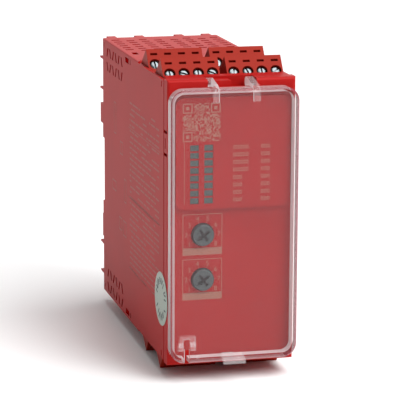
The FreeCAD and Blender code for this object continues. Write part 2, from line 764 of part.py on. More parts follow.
def make_front_cap():
    body = new_body("front_cap")
    half = s.width / 2 - s.skirt_inset
    deck_half = s.width / 2 - s.side_wall - s.fixed_gap / 2
    block = pad(body, "XZ", 0, s.skirt_depth, rectangle(-half, half, 0, s.height))
    fillet(body, block, s.front_radius, lambda edge: lies_at(edge, y=0))
    pocket(body, "XZ", s.front_wall, s.skirt_depth + 1,
           rectangle(-half + s.skirt_wall, half - s.skirt_wall, s.top_wall, mirrored(s.top_wall)))
    pad(body, "YZ", -deck_half, deck_half, *both_ends(deck_section))
    for row in range(2):
        pad(body, "YZ", -s.divider / 2, s.divider / 2, *both_ends_row(row))
    pad(body, "XZ", -s.panel_rise, s.front_wall / 2,
        round_rectangle(-s.panel_width / 2, s.panel_width / 2, s.panel_low, s.panel_high,
                        s.panel_radius))
    arm_end = s.snap_y + s.snap_length - s.fixed_gap
    tongue = s.height - s.top_wall - s.fixed_gap
    for low in (tongue - s.deck_wall, mirrored(tongue)):
        pad(body, "XY", low, low + s.deck_wall, snap_arm(-1, arm_end), snap_arm(1, arm_end))
    # hinge recess with its two bearings
    bearing = s.recess_half + s.bearing_wall
    pad(body, "YZ", -bearing, bearing,
        polygon((s.front_wall / 2, s.recess_floor - s.top_wall),
                (s.recess_back - 1.4, s.recess_floor - s.top_wall),
                (s.recess_back + 0.6, s.recess_floor + 1),
                (s.recess_back + 0.6, s.height - s.top_wall / 2),
                (s.front_wall / 2, s.height - s.top_wall / 2)))
    pocket(body, "YZ", -s.recess_half, s.recess_half,
           rectangle(s.front_wall, s.recess_back, s.recess_floor, s.height + 1))
    pocket(body, "YZ", -s.recess_half, s.recess_half,
           rectangle(-1, s.front_wall + 0.1, s.recess_sill, s.height + 1))
    bore_reach = bearing - s.top_wall / 4
    pocket(body, "YZ", -bore_reach, bore_reach,
           ring(s.hinge_y, s.hinge_z, s.hinge_pin + s.running_gap, SMALL_SIDES))
    arm_inner = s.recess_half - s.arm_width - 2 * s.moving_gap
    pad(body, "YZ", -arm_inner, 0,
        rectangle(s.front_wall - 0.1, s.recess_back + 0.1, s.recess_floor - 0.1,
                  s.height - s.top_wall / 2))
    # openings in the front wall
    pocket(body, "XZ", -s.panel_rise - 1, s.front_wall + 1, *status_windows(0))
    hole = s.knob_radius + s.moving_gap
    pocket(body, "XZ", -1, s.front_wall + 1,
           ring(s.knob_x, s.knob_upper, hole, KNOB_SIDES),
           ring(s.knob_x, s.knob_lower, hole, KNOB_SIDES),
           rectangle(s.tab_left + 2 - s.moving_gap, s.tab_right - 2 + s.moving_gap,
                     s.tongue_z - s.moving_gap, s.tongue_z + s.tongue_height + s.moving_gap))
    # snaps in the skirts
    slots = []
    for low in (s.snap_slot_low, s.snap_slot_high):
        for level in (low, mirrored(low) - 1):
            slots.append(rectangle(1, s.skirt_depth + 1, level, level + 1))
    middle = (s.snap_slot_low + s.snap_slot_high + 1) / 2
    for level in (middle, mirrored(middle)):
        slots.append(rectangle(2.6, 3.4, level - 1.9, level + 1.9))
    pocket(body, "YZ", -half - 1, half + 1, *slots)
    # slots in the trough floors for the header pins
    for row in range(2):
        cut_pin_slots(body, row)
    finish(body)


def both_ends_row(row):
    return divider_section(row), divider_section(row, True)


def header_pin_foot(row):
    """Where a row's pins leave the trough floor, as (y, z)."""
    return lean_point(row, -s.trough_depth - s.deck_wall / 2, (s.entry_front + s.entry_back) / 2)


def cut_pin_slots(body, row):
    """One slot for each header through the floor of its trough."""
    across, level = header_pin_foot(row)
    reach = s.pole_pitch * 1.5 + s.pin_side
    outlines = []
    for side in (-1, 1):
        middle = s.module_pitch / 2 * side
        outlines.append(rectangle(middle - reach, middle + reach,
                                  across - 2 * s.pin_side, across + 2 * s.pin_side))
    for centre in (level, mirrored(level)):
        pocket(body, "XY", centre - 3, centre + 3, *outlines)


# ---------------------------------------------------------------- cover

def arm_profile():
    """Side view of a hinge arm from its eye, over the edge, to its end."""
    front = -s.moving_gap - s.cover_depth
    face = front - s.arm_rise
    top = s.hinge_z + s.hinge_eye
    return polygon(
        (s.hinge_y, top), (s.hinge_y - s.arm_flat, top), (front + 0.8, s.cover_high + 1),
        (face, s.cover_high - 0.6), (face - 0.4, s.arm_end + 0.8), (face, s.arm_end),
        (front + 0.2, s.arm_end),
        (front + 0.2, s.cover_high - s.cover_rim), (-s.moving_gap, s.cover_high - s.cover_rim),
        (-s.moving_gap, s.recess_sill + s.moving_gap), (s.hinge_y, s.recess_sill + s.moving_gap))


def seal_notch():
    """The slot in the cover below its sealing loop."""
    half = s.notch_width / 2
    return rectangle(s.notch_x - half, s.notch_x + half, s.cover_low - 1, s.seal_low)


def tab_profile(front):
    """Side view of the finger tab: out from the cover, then down to a lip."""
    root, lip = front + s.cover_plate / 2, front - s.tab_reach
    fold = s.tab_high - s.tab_fall
    return polygon((root, s.tab_high), (front, s.tab_high), (lip, fold), (lip, s.tab_drop),
                   (lip + s.tab_wall, s.tab_drop), (lip + s.tab_wall, fold - s.tab_wall),
                   (front, s.tab_high - 1.5 * s.tab_wall), (root, s.tab_high - 1.5 * s.tab_wall))


def make_clear_cover():
    body = new_body("clear_cover")
    half = s.cover_width / 2
    back = -s.moving_gap
    front = back - s.cover_depth
    tray = pad(body, "XZ", front, back,
               round_rectangle(-half, half, s.cover_low, s.cover_high, s.cover_radius))
    bevel(body, tray, s.cover_bevel, lambda edge: lies_at(edge, y=front))
    pocket(body, "XZ", front + s.cover_plate, back + 1,
           round_rectangle(-half + s.cover_rim, half - s.cover_rim, s.cover_low + s.cover_rim,
                           s.cover_high - s.cover_rim, s.cover_radius - s.cover_rim))
    outer = s.recess_half - s.moving_gap
    for low, high in ((-outer, s.arm_width - outer), (outer - s.arm_width, outer)):
        pad(body, "YZ", low, high, arm_profile())
        pad(body, "YZ", low, high, ring(s.hinge_y, s.hinge_z, s.hinge_eye, 2 * SMALL_SIDES))
    pin_end = s.recess_half + s.bearing_wall - s.top_wall / 2
    for low, high in ((-pin_end, 0.1 - outer), (outer - 0.1, pin_end)):
        pad(body, "YZ", low, high, ring(s.hinge_y, s.hinge_z, s.hinge_pin, SMALL_SIDES))
    # sealing loop, with a hole for the wire through both legs
    bar, high = s.seal_bar, s.seal_high
    pad(body, "XZ", front - s.seal_reach, front + s.cover_plate / 2,
        polygon((s.seal_left, s.seal_low), (s.seal_left + bar, s.seal_low),
                (s.seal_left + bar, high - s.seal_bridge),
                (s.seal_right - bar, high - s.seal_bridge),
                (s.seal_right - bar, s.seal_low), (s.seal_right, s.seal_low),
                (s.seal_right, high), (s.seal_left + s.seal_taper, high)))
    wire_y, wire_z = front - s.seal_reach / 2, s.seal_low + bar
    pocket(body, "YZ", s.seal_left - 1, s.seal_right + 1,
           rectangle(wire_y - s.seal_hole, wire_y + s.seal_hole,
                     wire_z - s.seal_hole, wire_z + s.seal_hole))
    pocket(body, "XZ", front - s.seal_reach - 1, back + 1, seal_notch())
    pad(body, "XZ", front - s.pip_rise, front + s.cover_plate / 2,
        ring(s.pip_x, s.pip_z, s.pip_radius, SMALL_SIDES))
    # finger tab with its lip, and the latch tongue behind it
    pad(body, "YZ", s.tab_left, s.tab_right, tab_profile(front))
    pad(body, "XZ", front + s.cover_plate / 2, s.tongue_reach,
        rectangle(s.tab_left + 2, s.tab_right - 2, s.tongue_z, s.tongue_z + s.tongue_height))
    finish(body)


# ---------------------------------------------------------------- selectors

def turned(across, up, angle, corners):
    """Corners turned about a point of the sketch by a fixed angle."""
    c, n = math.cos(math.radians(angle)), math.sin(math.radians(angle))
    return [(across + u * c - v * n, up + u * n + v * c) for u, v in corners]


def turned_bar(across, up, angle, length, breadth):
    half, side = length / 2, breadth / 2
    corners = [(-half, -side), (half, -side), (half, side), (-half, side)]
    return polygon(*turned(across, up, angle, corners))


def make_selector(label, level):
    body = new_body(label)
    head = pad(body, "XZ", -s.knob_rise, s.knob_seat,
               ring(s.knob_x, level, s.knob_radius, KNOB_SIDES))
    bevel(body, head, s.knob_bevel, lambda edge: lies_at(edge, y=-s.knob_rise))
    pad(body, "XZ", s.knob_seat - 0.1, s.shaft_end,
        ring(s.knob_x, level, s.shaft_radius, SMALL_SIDES))
    top, floor = -s.knob_rise - 1, s.cross_depth - s.knob_rise
    half = s.cross_length / 2
    head_side = s.cross_width * 1.1
    pocket(body, "XZ", top, floor,
           turned_bar(s.knob_x, level, SELECTOR_START + 90, s.cross_length, s.cross_width))
    arrow = [(-half, -s.cross_width / 2), (half - 1.2, -s.cross_width / 2), (half - 1.2, -head_side),
             (half + 0.5, as_size(0)), (half - 1.2, head_side), (half - 1.2, s.cross_width / 2),
             (-half, s.cross_width / 2)]
    pocket(body, "XZ", top, floor, polygon(*turned(s.knob_x, level, SELECTOR_START, arrow)))
    finish(body)


def make_switch_body(label, level):
    body = new_body(label)
    half = s.switch_side / 2
    front = s.front_wall + s.moving_gap
    pad(body, "XZ", front, s.front_board_y,
        rectangle(s.knob_x - half, s.knob_x + half, level - half, level + half))
    pocket(body, "XZ", front - 1, s.shaft_end + 0.3,
           ring(s.knob_x, level, s.shaft_radius + s.running_gap, SMALL_SIDES))
    finish(body)


# ---------------------------------------------------------------- indicators and boards

def make_light_guide(label, middle):
    """A comb of eight clear fingers on one bar."""
    body = new_body(label)
    margin = s.running_gap * 2
    half = s.window_width / 2 - margin
    fingers = []
    for row in range(int(s.window_rows.value)):
        high = s.window_top - s.window_pitch * row - margin
        fingers.append(rectangle(middle - half, middle + half,
                                 high - s.window_height + 2 * margin, high))
    low = s.window_top - s.window_pitch * (s.window_rows - 1) - s.window_height
    back = s.front_board_y - s.led_tall - s.moving_gap
    pad(body, "XZ", margin - s.panel_rise, back, *fingers)
    pad(body, "XZ", s.front_wall + margin, s.front_wall + margin + 1.2,
        rectangle(middle - half, middle + half, low, s.window_top))
    finish(body)


def make_status_leds():
    body = new_body("status_leds")
    half = s.led_side / 2
    chips = []
    for middle in (s.window_left, s.window_right):
        for row in range(int(s.window_rows.value)):
            level = s.window_top - s.window_height / 2 - s.window_pitch * row
            chips.append(rectangle(middle - half, middle + half, level - half, level + half))
    pad(body, "XZ", s.front_board_y - s.led_tall, s.front_board_y, *chips)
    finish(body)


def board_between():
    """Heights between the two terminal boards, as (low, high)."""
    high = s.terminal_board_z - s.board - s.fixed_gap
    return mirrored(high), high


def make_front_board():
    body = new_body("front_board")
    low, high = board_between()
    half = s.width / 2 - s.side_wall - 2 * s.moving_gap
    pad(body, "XZ", s.front_board_y, s.front_board_y + s.board,
        rectangle(-half, half, low + 1.2, high - 1.2))
    finish(body)


def make_terminal_board(label, upper):
    body = new_body(label)
    half = s.width / 2 - s.side_wall - 2 * s.moving_gap
    low = s.terminal_board_z - s.board
    if not upper:
        low = mirrored(s.terminal_board_z)
    pad(body, "XY", low, low + s.board,
        rectangle(-half, half, s.terminal_board_y, s.deck_end - 3))
    reach = s.pole_pitch * 1.5 + s.pin_side
    holes = []
    for row in range(2):
        across = header_pin_foot(row)[0]
        for side in (-1, 1):
            middle = s.module_pitch / 2 * side
            holes.append(rectangle(middle - reach, middle + reach,
                                   across - s.pin_side / 2 - s.running_gap,
                                   across + s.pin_side / 2 + s.running_gap))
    pocket(body, "XY", low - 1, low + s.board + 1, *holes)
    finish(body)


def upright_board(body, near):
    """An upright board, cut back to pass between the terminal boards."""
    low, high = board_between()
    step = s.deck_end + s.deck_lip + 1
    edge = s.top_wall + s.deck_wall + 2 * s.fixed_gap
    pad(body, "YZ", near, near + s.board,
        polygon((s.board_front, low), (step, low), (step, edge), (s.board_rear, edge),
                (s.board_rear, mirrored(edge)), (step, mirrored(edge)), (step, high),
                (s.board_front, high)))


def make_main_board():
    body = new_body("main_board")
    upright_board(body, s.main_board_x)
    finish(body)


def make_logic_board():
    body = new_body("logic_board")
    upright_board(body, s.logic_board_x)
    finish(body)


def make_relay(number):
    """A slim force-guided relay lying on the main board."""
    body = new_body(f"contact_relay_{number + 1}")
    low = s.relay_low + s.relay_pitch * number
    start = s.main_board_x + s.board
    case = pad(body, "YZ", start + 0.3, start + s.relay_tall,
               rectangle(s.relay_y, s.relay_y + s.relay_length, low, low + s.relay_width))
    end = start + s.relay_tall
    bevel(body, case, s.relay_bevel, lambda edge: lies_at(edge, x=end))
    legs = []
    for across in (2.5, 15.0, 26.0):
        for up in (s.relay_width * 0.2, s.relay_width * 0.8):
            legs.append(rectangle(s.relay_y + across - 0.4, s.relay_y + across + 0.4,
                                  low + up - 0.3, low + up + 0.3))
    pad(body, "YZ", start, start + 0.8, *legs)
    finish(body)


def make_transformer():
    """A small switching transformer: ferrite halves round a coil former."""
    body = new_body("power_transformer")
    high = s.logic_board_x
    low = high - s.coil_tall
    front = s.board_front + 8
    centre = s.height / 2
    half = s.coil_width / 2
    pad(body, "YZ", low, high, rectangle(front, front + s.coil_width, centre - half, centre + half))
    pocket(body, "XZ", front - 1, front + s.coil_width + 1,
           rectangle(low + 2.5, high - 2.5, centre - half - 1, centre - half + 3),
           rectangle(low + 2.5, high - 2.5, centre + half - 3, centre + half + 1))
    pad(body, "XZ", front + 2, front + s.coil_width - 2,
        rectangle(low + 2.4, high - 2.4, centre - half + 1, centre + half - 1))
    finish(body)


def make_capacitors():
    """Three standing capacitors on the logic board."""
    body = new_body("buffer_capacitors")
    front = s.board_front + 36
    cans = []
    for number in range(3):
        middle = s.height / 2 + s.can_pitch * (number - 1)
        cans.append(ring(front, middle, s.can_radius, CAN_SIDES))
    pad(body, "YZ", s.logic_board_x - s.can_length, s.logic_board_x, *cans)
    finish(body)


# ---------------------------------------------------------------- terminals

def pole_offset(index):
    return s.pole_pitch * (index - (int(s.poles.value) - 1) / 2)


def copy_of(kind, label, place):
    """Make a like piece as a clone of the first of its kind, if there is one."""
    original = originals.get(kind)
    if not original:
        originals[kind] = label
        return False
    source = doc.getObject(original)
    body = new_body(label)
    clone = body.newObject("PartDesign::FeatureBase", "Clone")
    clone.BaseFeature = source
    body.Tip = clone
    finish(body, place)
    return True


def make_plug(label, place):
    """A pluggable terminal block, drawn upright with its screw face in front."""
    if copy_of("plug", label, place):
        return
    body = new_body(label)
    half = s.plug_width / 2
    thick, foot = s.plug_thick, -s.plug_body
    end = foot - s.nose_length
    pad(body, "YZ", -half, half,
        polygon((0, 0), (thick - s.plug_bevel, 0), (thick, -s.plug_bevel), (thick, foot),
                (thick - s.nose_back, foot), (thick - s.nose_back, end), (s.nose_front, end),
                (s.nose_front, foot), (0, foot)))
    first = pole_offset(0)
    radius = s.bore_radius
    wells = pocket(body, "XZ", -1, s.chamber_front + 0.5,
                   ring(first, -s.bore_level, radius, SMALL_SIDES))
    repeat(body, wells, "H_Axis", s.pole_pitch, s.poles)
    test = s.test_width / 2
    slits = pocket(body, "XZ", -1, s.test_depth,
                   rectangle(first - test, first + test, -s.slit_level - s.test_height, -s.slit_level))
    repeat(body, slits, "H_Axis", s.pole_pitch, s.poles)
    room = s.chamber_width / 2
    chambers = pocket(body, "XY", end - 1, -s.chamber_top,
                      rectangle(first - room, first + room, s.chamber_front, s.chamber_back))
    repeat(body, chambers, "H_Axis", s.pole_pitch, s.poles)
    entry = s.entry_width / 2
    entries = pocket(body, "XY", -s.chamber_top - 1, 1,
                     rectangle(first - entry, first + entry, s.entry_front, s.entry_back))
    repeat(body, entries, "H_Axis", s.pole_pitch, s.poles)
    finish(body, place)


def make_clamps(label, place):
    """Clamp cages with the contact blades that grip the header's pins."""
    if copy_of("clamps", label, place):
        return
    body = new_body(label)
    first = pole_offset(0)
    gap = s.cage_gap
    half = s.chamber_width / 2 - gap
    front, back = s.chamber_front + gap, s.chamber_back - gap
    top = -s.chamber_top - gap
    low = top - s.cage_length
    wall = s.cage_wall
    middle = (s.entry_front + s.entry_back) / 2
    cage = pad(body, "XY", low, top, rectangle(first - half, first + half, front, back),
               rectangle(first - half + wall, first + half - wall, front + wall, back - wall))
    repeat(body, cage, "H_Axis", s.pole_pitch, s.poles)
    hole = pocket(body, "XZ", front - 1, front + wall + 0.2,
                  ring(first, -s.bore_level, s.thread_radius + s.running_gap, SHANK_SIDES))
    repeat(body, hole, "H_Axis", s.pole_pitch, s.poles)
    blade, thick = s.blade_width / 2, s.blade_thick
    grip = s.pin_side / 2 + s.cage_gap + thick
    blades = pad(body, "XY", -s.blade_end, low + wall,
                 rectangle(first - blade, first + blade, middle - grip, middle - grip + thick),
                 rectangle(first - blade, first + blade, middle + grip - thick, middle + grip))
    repeat(body, blades, "H_Axis", s.pole_pitch, s.poles)
    web = pad(body, "XY", low, low + wall, rectangle(first - half, first + half, front, back))
    repeat(body, web, "H_Axis", s.pole_pitch, s.poles)
    finish(body, place)


def make_screws(label, place, turns):
    """The plug's slotted clamp screws, each left at its own angle."""
    if turns is OTHER_TURNS and copy_of("screws", label, place):
        return
    body = new_body(label)
    first = pole_offset(0)
    top = s.head_sink
    seat = top + s.head_height
    heads = pad(body, "XZ", top, seat,
                ring(first, -s.bore_level, s.head_radius, SMALL_SIDES))
    repeat(body, heads, "H_Axis", s.pole_pitch, s.poles)
    shanks = pad(body, "XZ", seat - 0.1, s.screw_end,
                 ring(first, -s.bore_level, s.thread_radius, SHANK_SIDES))
    repeat(body, shanks, "H_Axis", s.pole_pitch, s.poles)
    slots = []
    for index, angle in enumerate(turns[:int(s.poles.value)]):
        slots.append(turned_bar(pole_offset(index), -s.bore_level, angle,
                                s.head_radius * 3, s.drive_width))
    for slot in slots:
        pocket(body, "XZ", top - 1, top + s.drive_depth, slot)
    finish(body, place)


def make_header(label, place):
    """The fixed half of a plug connection: an open trough round the pins."""
    if copy_of("header", label, place):
        return
    body = new_body(label)
    half = s.plug_width / 2 - s.header_inset
    low = -s.trough_depth + s.running_gap
    front, back = s.running_gap, s.plug_thick - s.running_gap
    high = -s.plug_body - 2 * s.fixed_gap
    pad(body, "YZ", -half, half,
        polygon((front, low), (back, low), (back, high), (back - s.header_wall, high),
                (back - s.header_wall, low + s.header_base),
                (front + s.header_wall, low + s.header_base),
                (front + s.header_wall, high), (front, high)))
    middle = (s.entry_front + s.entry_back) / 2
    pin = s.pin_side / 2 + s.running_gap
    first = pole_offset(0)
    holes = pocket(body, "XY", low - 1, low + s.header_base + 1,
                   rectangle(first - pin, first + pin, middle - pin, middle + pin))
    repeat(body, holes, "H_Axis", s.pole_pitch, s.poles)
    finish(body, place)


def make_header_pins():
    """All contact pins: each leans with its plug, then drops to its board."""
    body = new_body("header_pins")
    middle = (s.entry_front + s.entry_back) / 2
    half = s.pin_side / 2
    drop = s.terminal_board_z - s.board - s.pin_tail
    for side in (-1, 1):
        for index in range(int(s.poles.value)):
            centre = s.module_pitch / 2 * side + pole_offset(index)
            outlines = []
            for row in range(2):
                foot = header_pin_foot(row)
                corners = [
                    lean_point(row, -s.pin_top, middle - half),
                    lean_at_across(row, middle - half, foot[0] - half),
                    (foot[0] - half, drop), (foot[0] + half, drop),
                    lean_at_across(row, middle + half, foot[0] + half),
                    lean_point(row, -s.pin_top, middle + half)]
                outlines.append(polygon(*corners))
                outlines.append(polygon(*flipped(corners, True)))
            pad(body, "YZ", centre - half, centre + half, *outlines)
    finish(body)


def lean_at_across(row, inward, across):
    """The point of a line along the plug that has a given depth."""
    along = (across - s.tip_y - s.row_pitch * row - LEAN_COS * inward) / LEAN_SIN
    return lean_point(row, along, inward)


def plug_place(top, row, side):
    """Place of a plug: leaning back at the top, turned over at the bottom."""
    lean = Rotation(Vector(1, 0, 0), -s.tilt.value)
    across = s.module_pitch.value / 2 * side
    tip = Vector(across, s.tip_y.value + s.row_pitch.value * row, TIP_Z.value)
    if top:
        return Placement(tip, lean)
    tip.x = -across
    return OVER.multiply(Placement(tip, lean))


def make_terminals():
    for top in (True, False):
        for row in range(2):
            for side in (-1, 1):
                name = "_".join(["top" if top else "bottom", "rear" if row else "front",
                                 "left" if side < 0 else "right"])
                place = plug_place(top, row, side)
                turns = SCREW_TURNS.get(name, OTHER_TURNS)
                make_plug("plug_" + name, place)
                make_clamps("clamps_" + name, place)
                make_screws("screws_" + name, place, turns)
                make_header("header_" + name, place)
    make_header_pins()


# ---------------------------------------------------------------- rail foot

def make_rail_foot():
    body = new_body("rail_foot")
    half = s.foot_width / 2
    front = s.channel_y + s.fixed_gap
    back = front + s.foot_thick
    seat_low = s.rail_centre - s.rail_width / 2
    lip_y = s.seat_y + s.rail_flange + s.moving_gap
    nose_y = s.seat_y + s.foot_reach
    shoulder = seat_low - s.moving_gap
    pad(body, "YZ", -half, half,
        polygon((front, -s.foot_tail), (back, -s.foot_tail), (back, shoulder - 6),
                (nose_y, shoulder - 3.4), (nose_y, shoulder + 0.6), (lip_y, shoulder + s.foot_lip),
                (lip_y, shoulder), (front, shoulder)))
    wing = half + s.foot_wing
    pad(body, "XZ", front, s.channel_y + s.foot_back - s.fixed_gap,
        rectangle(-wing, wing, 1, shoulder - 4))
    window = s.foot_window / 2
    pocket(body, "XZ", front - 1, back + 1,
           rectangle(-window, window, s.window_end, s.spring_high + s.running_gap))
    pocket(body, "XZ", front - 1, back + 1, rectangle(-half + 2, half - 2, 0.6, 2.6))
    finish(body)


def make_foot_spring():
    """Compression spring: a flat strip folded to and fro between its seats."""
    body = new_body("foot_spring")
    count = int(s.spring_folds.value) * 2
    strip = s.spring_strip
    low = s.spring_low + s.running_gap
    rise = (s.spring_high - s.spring_low - s.running_gap * 2 - strip) / count
    right, left = [(-s.spring_reach, low)], [(-s.spring_reach, low + strip)]
    for fold in range(1, count):
        height = low + rise * fold
        turn = s.spring_reach * (1 if fold % 2 else -1)
        outside, inside = (right, left) if fold % 2 else (left, right)
        outside += [(turn, height), (turn, height + strip)]
        inside.append((turn - turn * strip / rise, height + strip / 2))
    top = low + rise * count
    right.append((-s.spring_reach, top + strip))
    left.append((-s.spring_reach, top))
    middle = s.channel_y + s.fixed_gap + s.foot_thick / 2
    pad(body, "XZ", middle - s.spring_width / 2, middle + s.spring_width / 2,
        polygon(*right, *reversed(left)))
    finish(body)


def make_round_label():
    body = new_body("round_label")
    side = s.width / 2
    pad(body, "YZ", -side - s.label_thick, -side, circle(s.label_y, s.label_z, s.label_radius))
    finish(body)


# ---------------------------------------------------------------- assembly

def check_document():
    """Stop if any feature failed or any piece is not a sound solid."""
    for item in doc.Objects:
        if "Invalid" in item.State or "Error" in item.State:
            raise RuntimeError(f"{item.Name} ({item.Label}) failed: {item.State}")
    for item in nodes:
        if item.Shape.isNull() or not item.Shape.isValid() or not item.Shape.Solids:
            raise RuntimeError(f"{item.Label} is not a sound solid")


make_housing_shell()
make_front_cap()
make_clear_cover()
make_selector("upper_selector", s.knob_upper)
make_selector("lower_selector", s.knob_lower)
make_switch_body("upper_switch", s.knob_upper)
make_switch_body("lower_switch", s.knob_lower)
make_light_guide("left_light_guide", s.window_left)
make_light_guide("right_light_guide", s.window_right)
make_status_leds()
make_front_board()
make_terminal_board("top_terminal_board", True)
make_terminal_board("bottom_terminal_board", False)
make_main_board()
make_logic_board()
for relay_number in range(int(s.relay_count.value)):
    make_relay(relay_number)
make_transformer()
make_capacitors()
make_terminals()
make_rail_foot()
make_foot_spring()
make_round_label()

doc.recompute()
check_document()
os.makedirs("parts", exist_ok=True)
for node in nodes:
    node.Shape.exportStep(f"parts/{node.Label}.step")
print(len(nodes), "pieces written")
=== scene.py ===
"""Finishes, printed marks, softened edges and a studio for the slim safety relay."""
import math
import random
import bpy
from mathutils import Matrix, Vector


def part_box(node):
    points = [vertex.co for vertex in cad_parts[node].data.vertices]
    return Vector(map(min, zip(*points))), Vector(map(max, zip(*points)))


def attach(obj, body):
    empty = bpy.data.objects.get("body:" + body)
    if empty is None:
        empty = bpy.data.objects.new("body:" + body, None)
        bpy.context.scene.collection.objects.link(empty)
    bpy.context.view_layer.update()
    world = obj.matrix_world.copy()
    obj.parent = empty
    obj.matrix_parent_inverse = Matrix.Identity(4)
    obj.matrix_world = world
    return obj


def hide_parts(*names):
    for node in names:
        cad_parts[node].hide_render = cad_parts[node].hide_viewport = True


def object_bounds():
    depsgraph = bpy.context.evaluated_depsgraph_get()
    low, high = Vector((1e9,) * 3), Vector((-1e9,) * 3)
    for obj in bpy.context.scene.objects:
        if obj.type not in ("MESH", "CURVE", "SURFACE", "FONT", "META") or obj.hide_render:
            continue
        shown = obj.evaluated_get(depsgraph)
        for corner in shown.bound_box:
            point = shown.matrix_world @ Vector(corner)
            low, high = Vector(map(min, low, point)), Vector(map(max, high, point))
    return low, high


bl_info = {
    "name": "Safety Relay Looks",
    "version": (1, 0, 0),
    "blender": (4, 5, 0),
    "location": "View3D > Sidebar > Safety Relay",
    "description": "Dresses the packed safety relay and sets up its studio",
    "category": "Object",
}

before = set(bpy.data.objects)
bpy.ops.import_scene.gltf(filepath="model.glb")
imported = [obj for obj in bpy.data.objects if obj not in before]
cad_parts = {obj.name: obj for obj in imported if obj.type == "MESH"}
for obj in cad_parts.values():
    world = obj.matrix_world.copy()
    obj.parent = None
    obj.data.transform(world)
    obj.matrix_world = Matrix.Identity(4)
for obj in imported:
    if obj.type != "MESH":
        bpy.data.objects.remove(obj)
CAD_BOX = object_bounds()
MM = 0.001

SHELL_LOW, SHELL_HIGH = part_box("housing_shell")
BASE_Z = SHELL_LOW.z
PANEL_RISE = 1.5 * MM
FRONT_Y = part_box("front_cap")[0].y + PANEL_RISE
COVER_GAP = 0.3 * MM
COVER_DEPTH = 4.9 * MM
COVER_FRONT = FRONT_Y - COVER_GAP - COVER_DEPTH
COVER_LOW = BASE_Z + 1.9 * MM
COVER_TOP = BASE_Z + 96.3 * MM
LEVELS = ("upper", "lower")
ENDS = ("top", "bottom")
SPOTS = ("front_left", "front_right", "rear_left", "rear_right")
TERMINALS = [f"{end}_{spot}" for end in ENDS for spot in SPOTS]


def at(x, y, z):
    """A point in the row frame from millimetres right of the middle, behind the front and up."""
    return Vector((x * MM, FRONT_Y + y * MM, BASE_Z + z * MM))


# ---------------------------------------------------------------- settings

def colour(name, description, value):
    """A colour setting, in linear red, green and blue."""
    return bpy.props.FloatVectorProperty(
        name=name, description=description, default=value, size=3, min=0, max=1, subtype="COLOR")


def length(name, description, millimetres):
    """A length setting whose default is given in millimetres."""
    return bpy.props.FloatProperty(
        name=name, description=description, default=millimetres * MM, min=0,
        unit="LENGTH", subtype="DISTANCE", precision=5)


class RelayFinishes(bpy.types.PropertyGroup):
    """Colours of the moulded, printed and metal surfaces, and of painted shade, highlights, sheen and
    reflections.
    """
    housing: colour("Housing", "Moulded red of the housing and its cap", (0.40, 0.0075, 0.0065))
    # Painted shade: a darker red for the insides of the slits and windows, where shade falls.
    shade: colour("Recesses", "Deep red inside the slits and windows", (0.30, 0.002, 0.002))
    terminal: colour("Terminals", "Warmer red of the terminal plugs", (0.31, 0.016, 0.006))
    # Painted reflection: this grey on the clear cover's flat faces stands in for the white
    # surroundings reflected in them.
    clear: colour("Cover", "Faint grey of the cover's flat faces", (0.25, 0.19, 0.20))
    # Painted sheen: the pale tone of the cover's walls, seen edge on, stands in for light reflected
    # in them.
    rim: colour("Cover walls", "Pale light gathered in the cover's walls", (0.62, 0.56, 0.57))
    # Painted reflection: the rosy grey of the cover's outer bend stands in for the red housing seen
    # through it.
    bend: colour("Cover bends", "Rosy grey of the cover's outer bend", (0.36, 0.17, 0.20))
    # Painted highlight: near-white on the narrow edges of the cover's arms, loop and tab.
    glint: colour("Cover edges", "Bright light caught by the cover's edges", (0.92, 0.88, 0.89))
    # Painted sheen: the pale tone of the clear arms, loop and tab stands in for light reflected in
    # them.
    thick: colour("Thick cover parts", "Pale arms, loop and tab of the cover", (0.86, 0.80, 0.81))
    # Painted reflection: red on the cover's right-facing rim stands in for the red housing seen in
    # it.
    right_rim_reflection: colour("Cover's right rim", "Red gathered in the cover's right rim", (0.30, 0.045, 0.07))
    selector: colour("Selectors", "Grey-green of the rotary selectors", (0.055, 0.078, 0.080))
    window: colour("Windows", "Grey-green of the status windows", (0.060, 0.085, 0.080))
    printing: colour("Print", "Pale print on the front", (0.42, 0.165, 0.115))
    side_printing: colour("Side print", "Faint print on the side", (0.33, 0.038, 0.022))
    label: colour("Label", "Base of the round label", (0.40, 0.46, 0.40))
    ink: colour("Ink", "Marks on the round label", (0.05, 0.07, 0.07))
    zinc: colour("Zinc", "Bright screws", (0.17, 0.19, 0.20))


class RelayEdges(bpy.types.PropertyGroup):
    """How far the moulded edges are rounded."""
    housing: length("Housing edges", "Rounding of the housing's edges", 0.25)
    plugs: length("Plug edges", "Rounding of the terminal plugs' edges", 0.15)
    cover: length("Cover edges", "Rounding of the clear cover's edges", 0.28)
    selectors: length("Selector edges", "Rounding of the selectors' edges", 0.12)


class RelayScrews(bpy.types.PropertyGroup):
    """The slotted clamp screws in their wells."""
    head: length("Head", "Radius of a screw head", 1.78)
    sink: length("Sink", "Crown of the head below the plug's face", 0.42)
    crown: length("Crown", "Rise of the domed head", 0.55)
    seat: length("Seat", "Back of the head below the plug's face", 2.0)
    shank: length("Shank", "Radius of the shank", 1.2)
    end: length("End", "End of the screw below the plug's face", 6.3)
    slot_width: length("Slot width", "Width of the slot", 0.62)
    slot_depth: length("Slot depth", "Depth of the slot below the crown", 1.0)
    well: length("Well", "Radius of a screw well", 1.96)
    level: length("Level", "Middle of a well below the plug's upper edge", 6.0)
    pitch: length("Pitch", "Pitch of the terminals", 5.0)


class RelayPrint(bpy.types.PropertyGroup):
    """Sizes of the printed marks."""
    film: length("Film", "Thickness of the print", 0.03)
    line: length("Line", "Width of the printed lines", 0.22)
    figure: length("Figures", "Height of the dial figures", 1.7)
    code: length("Code", "Side of the square code", 13.1)
    cells: bpy.props.IntProperty(
        name="Code cells", description="Cells along the square code's side", default=35, min=17)


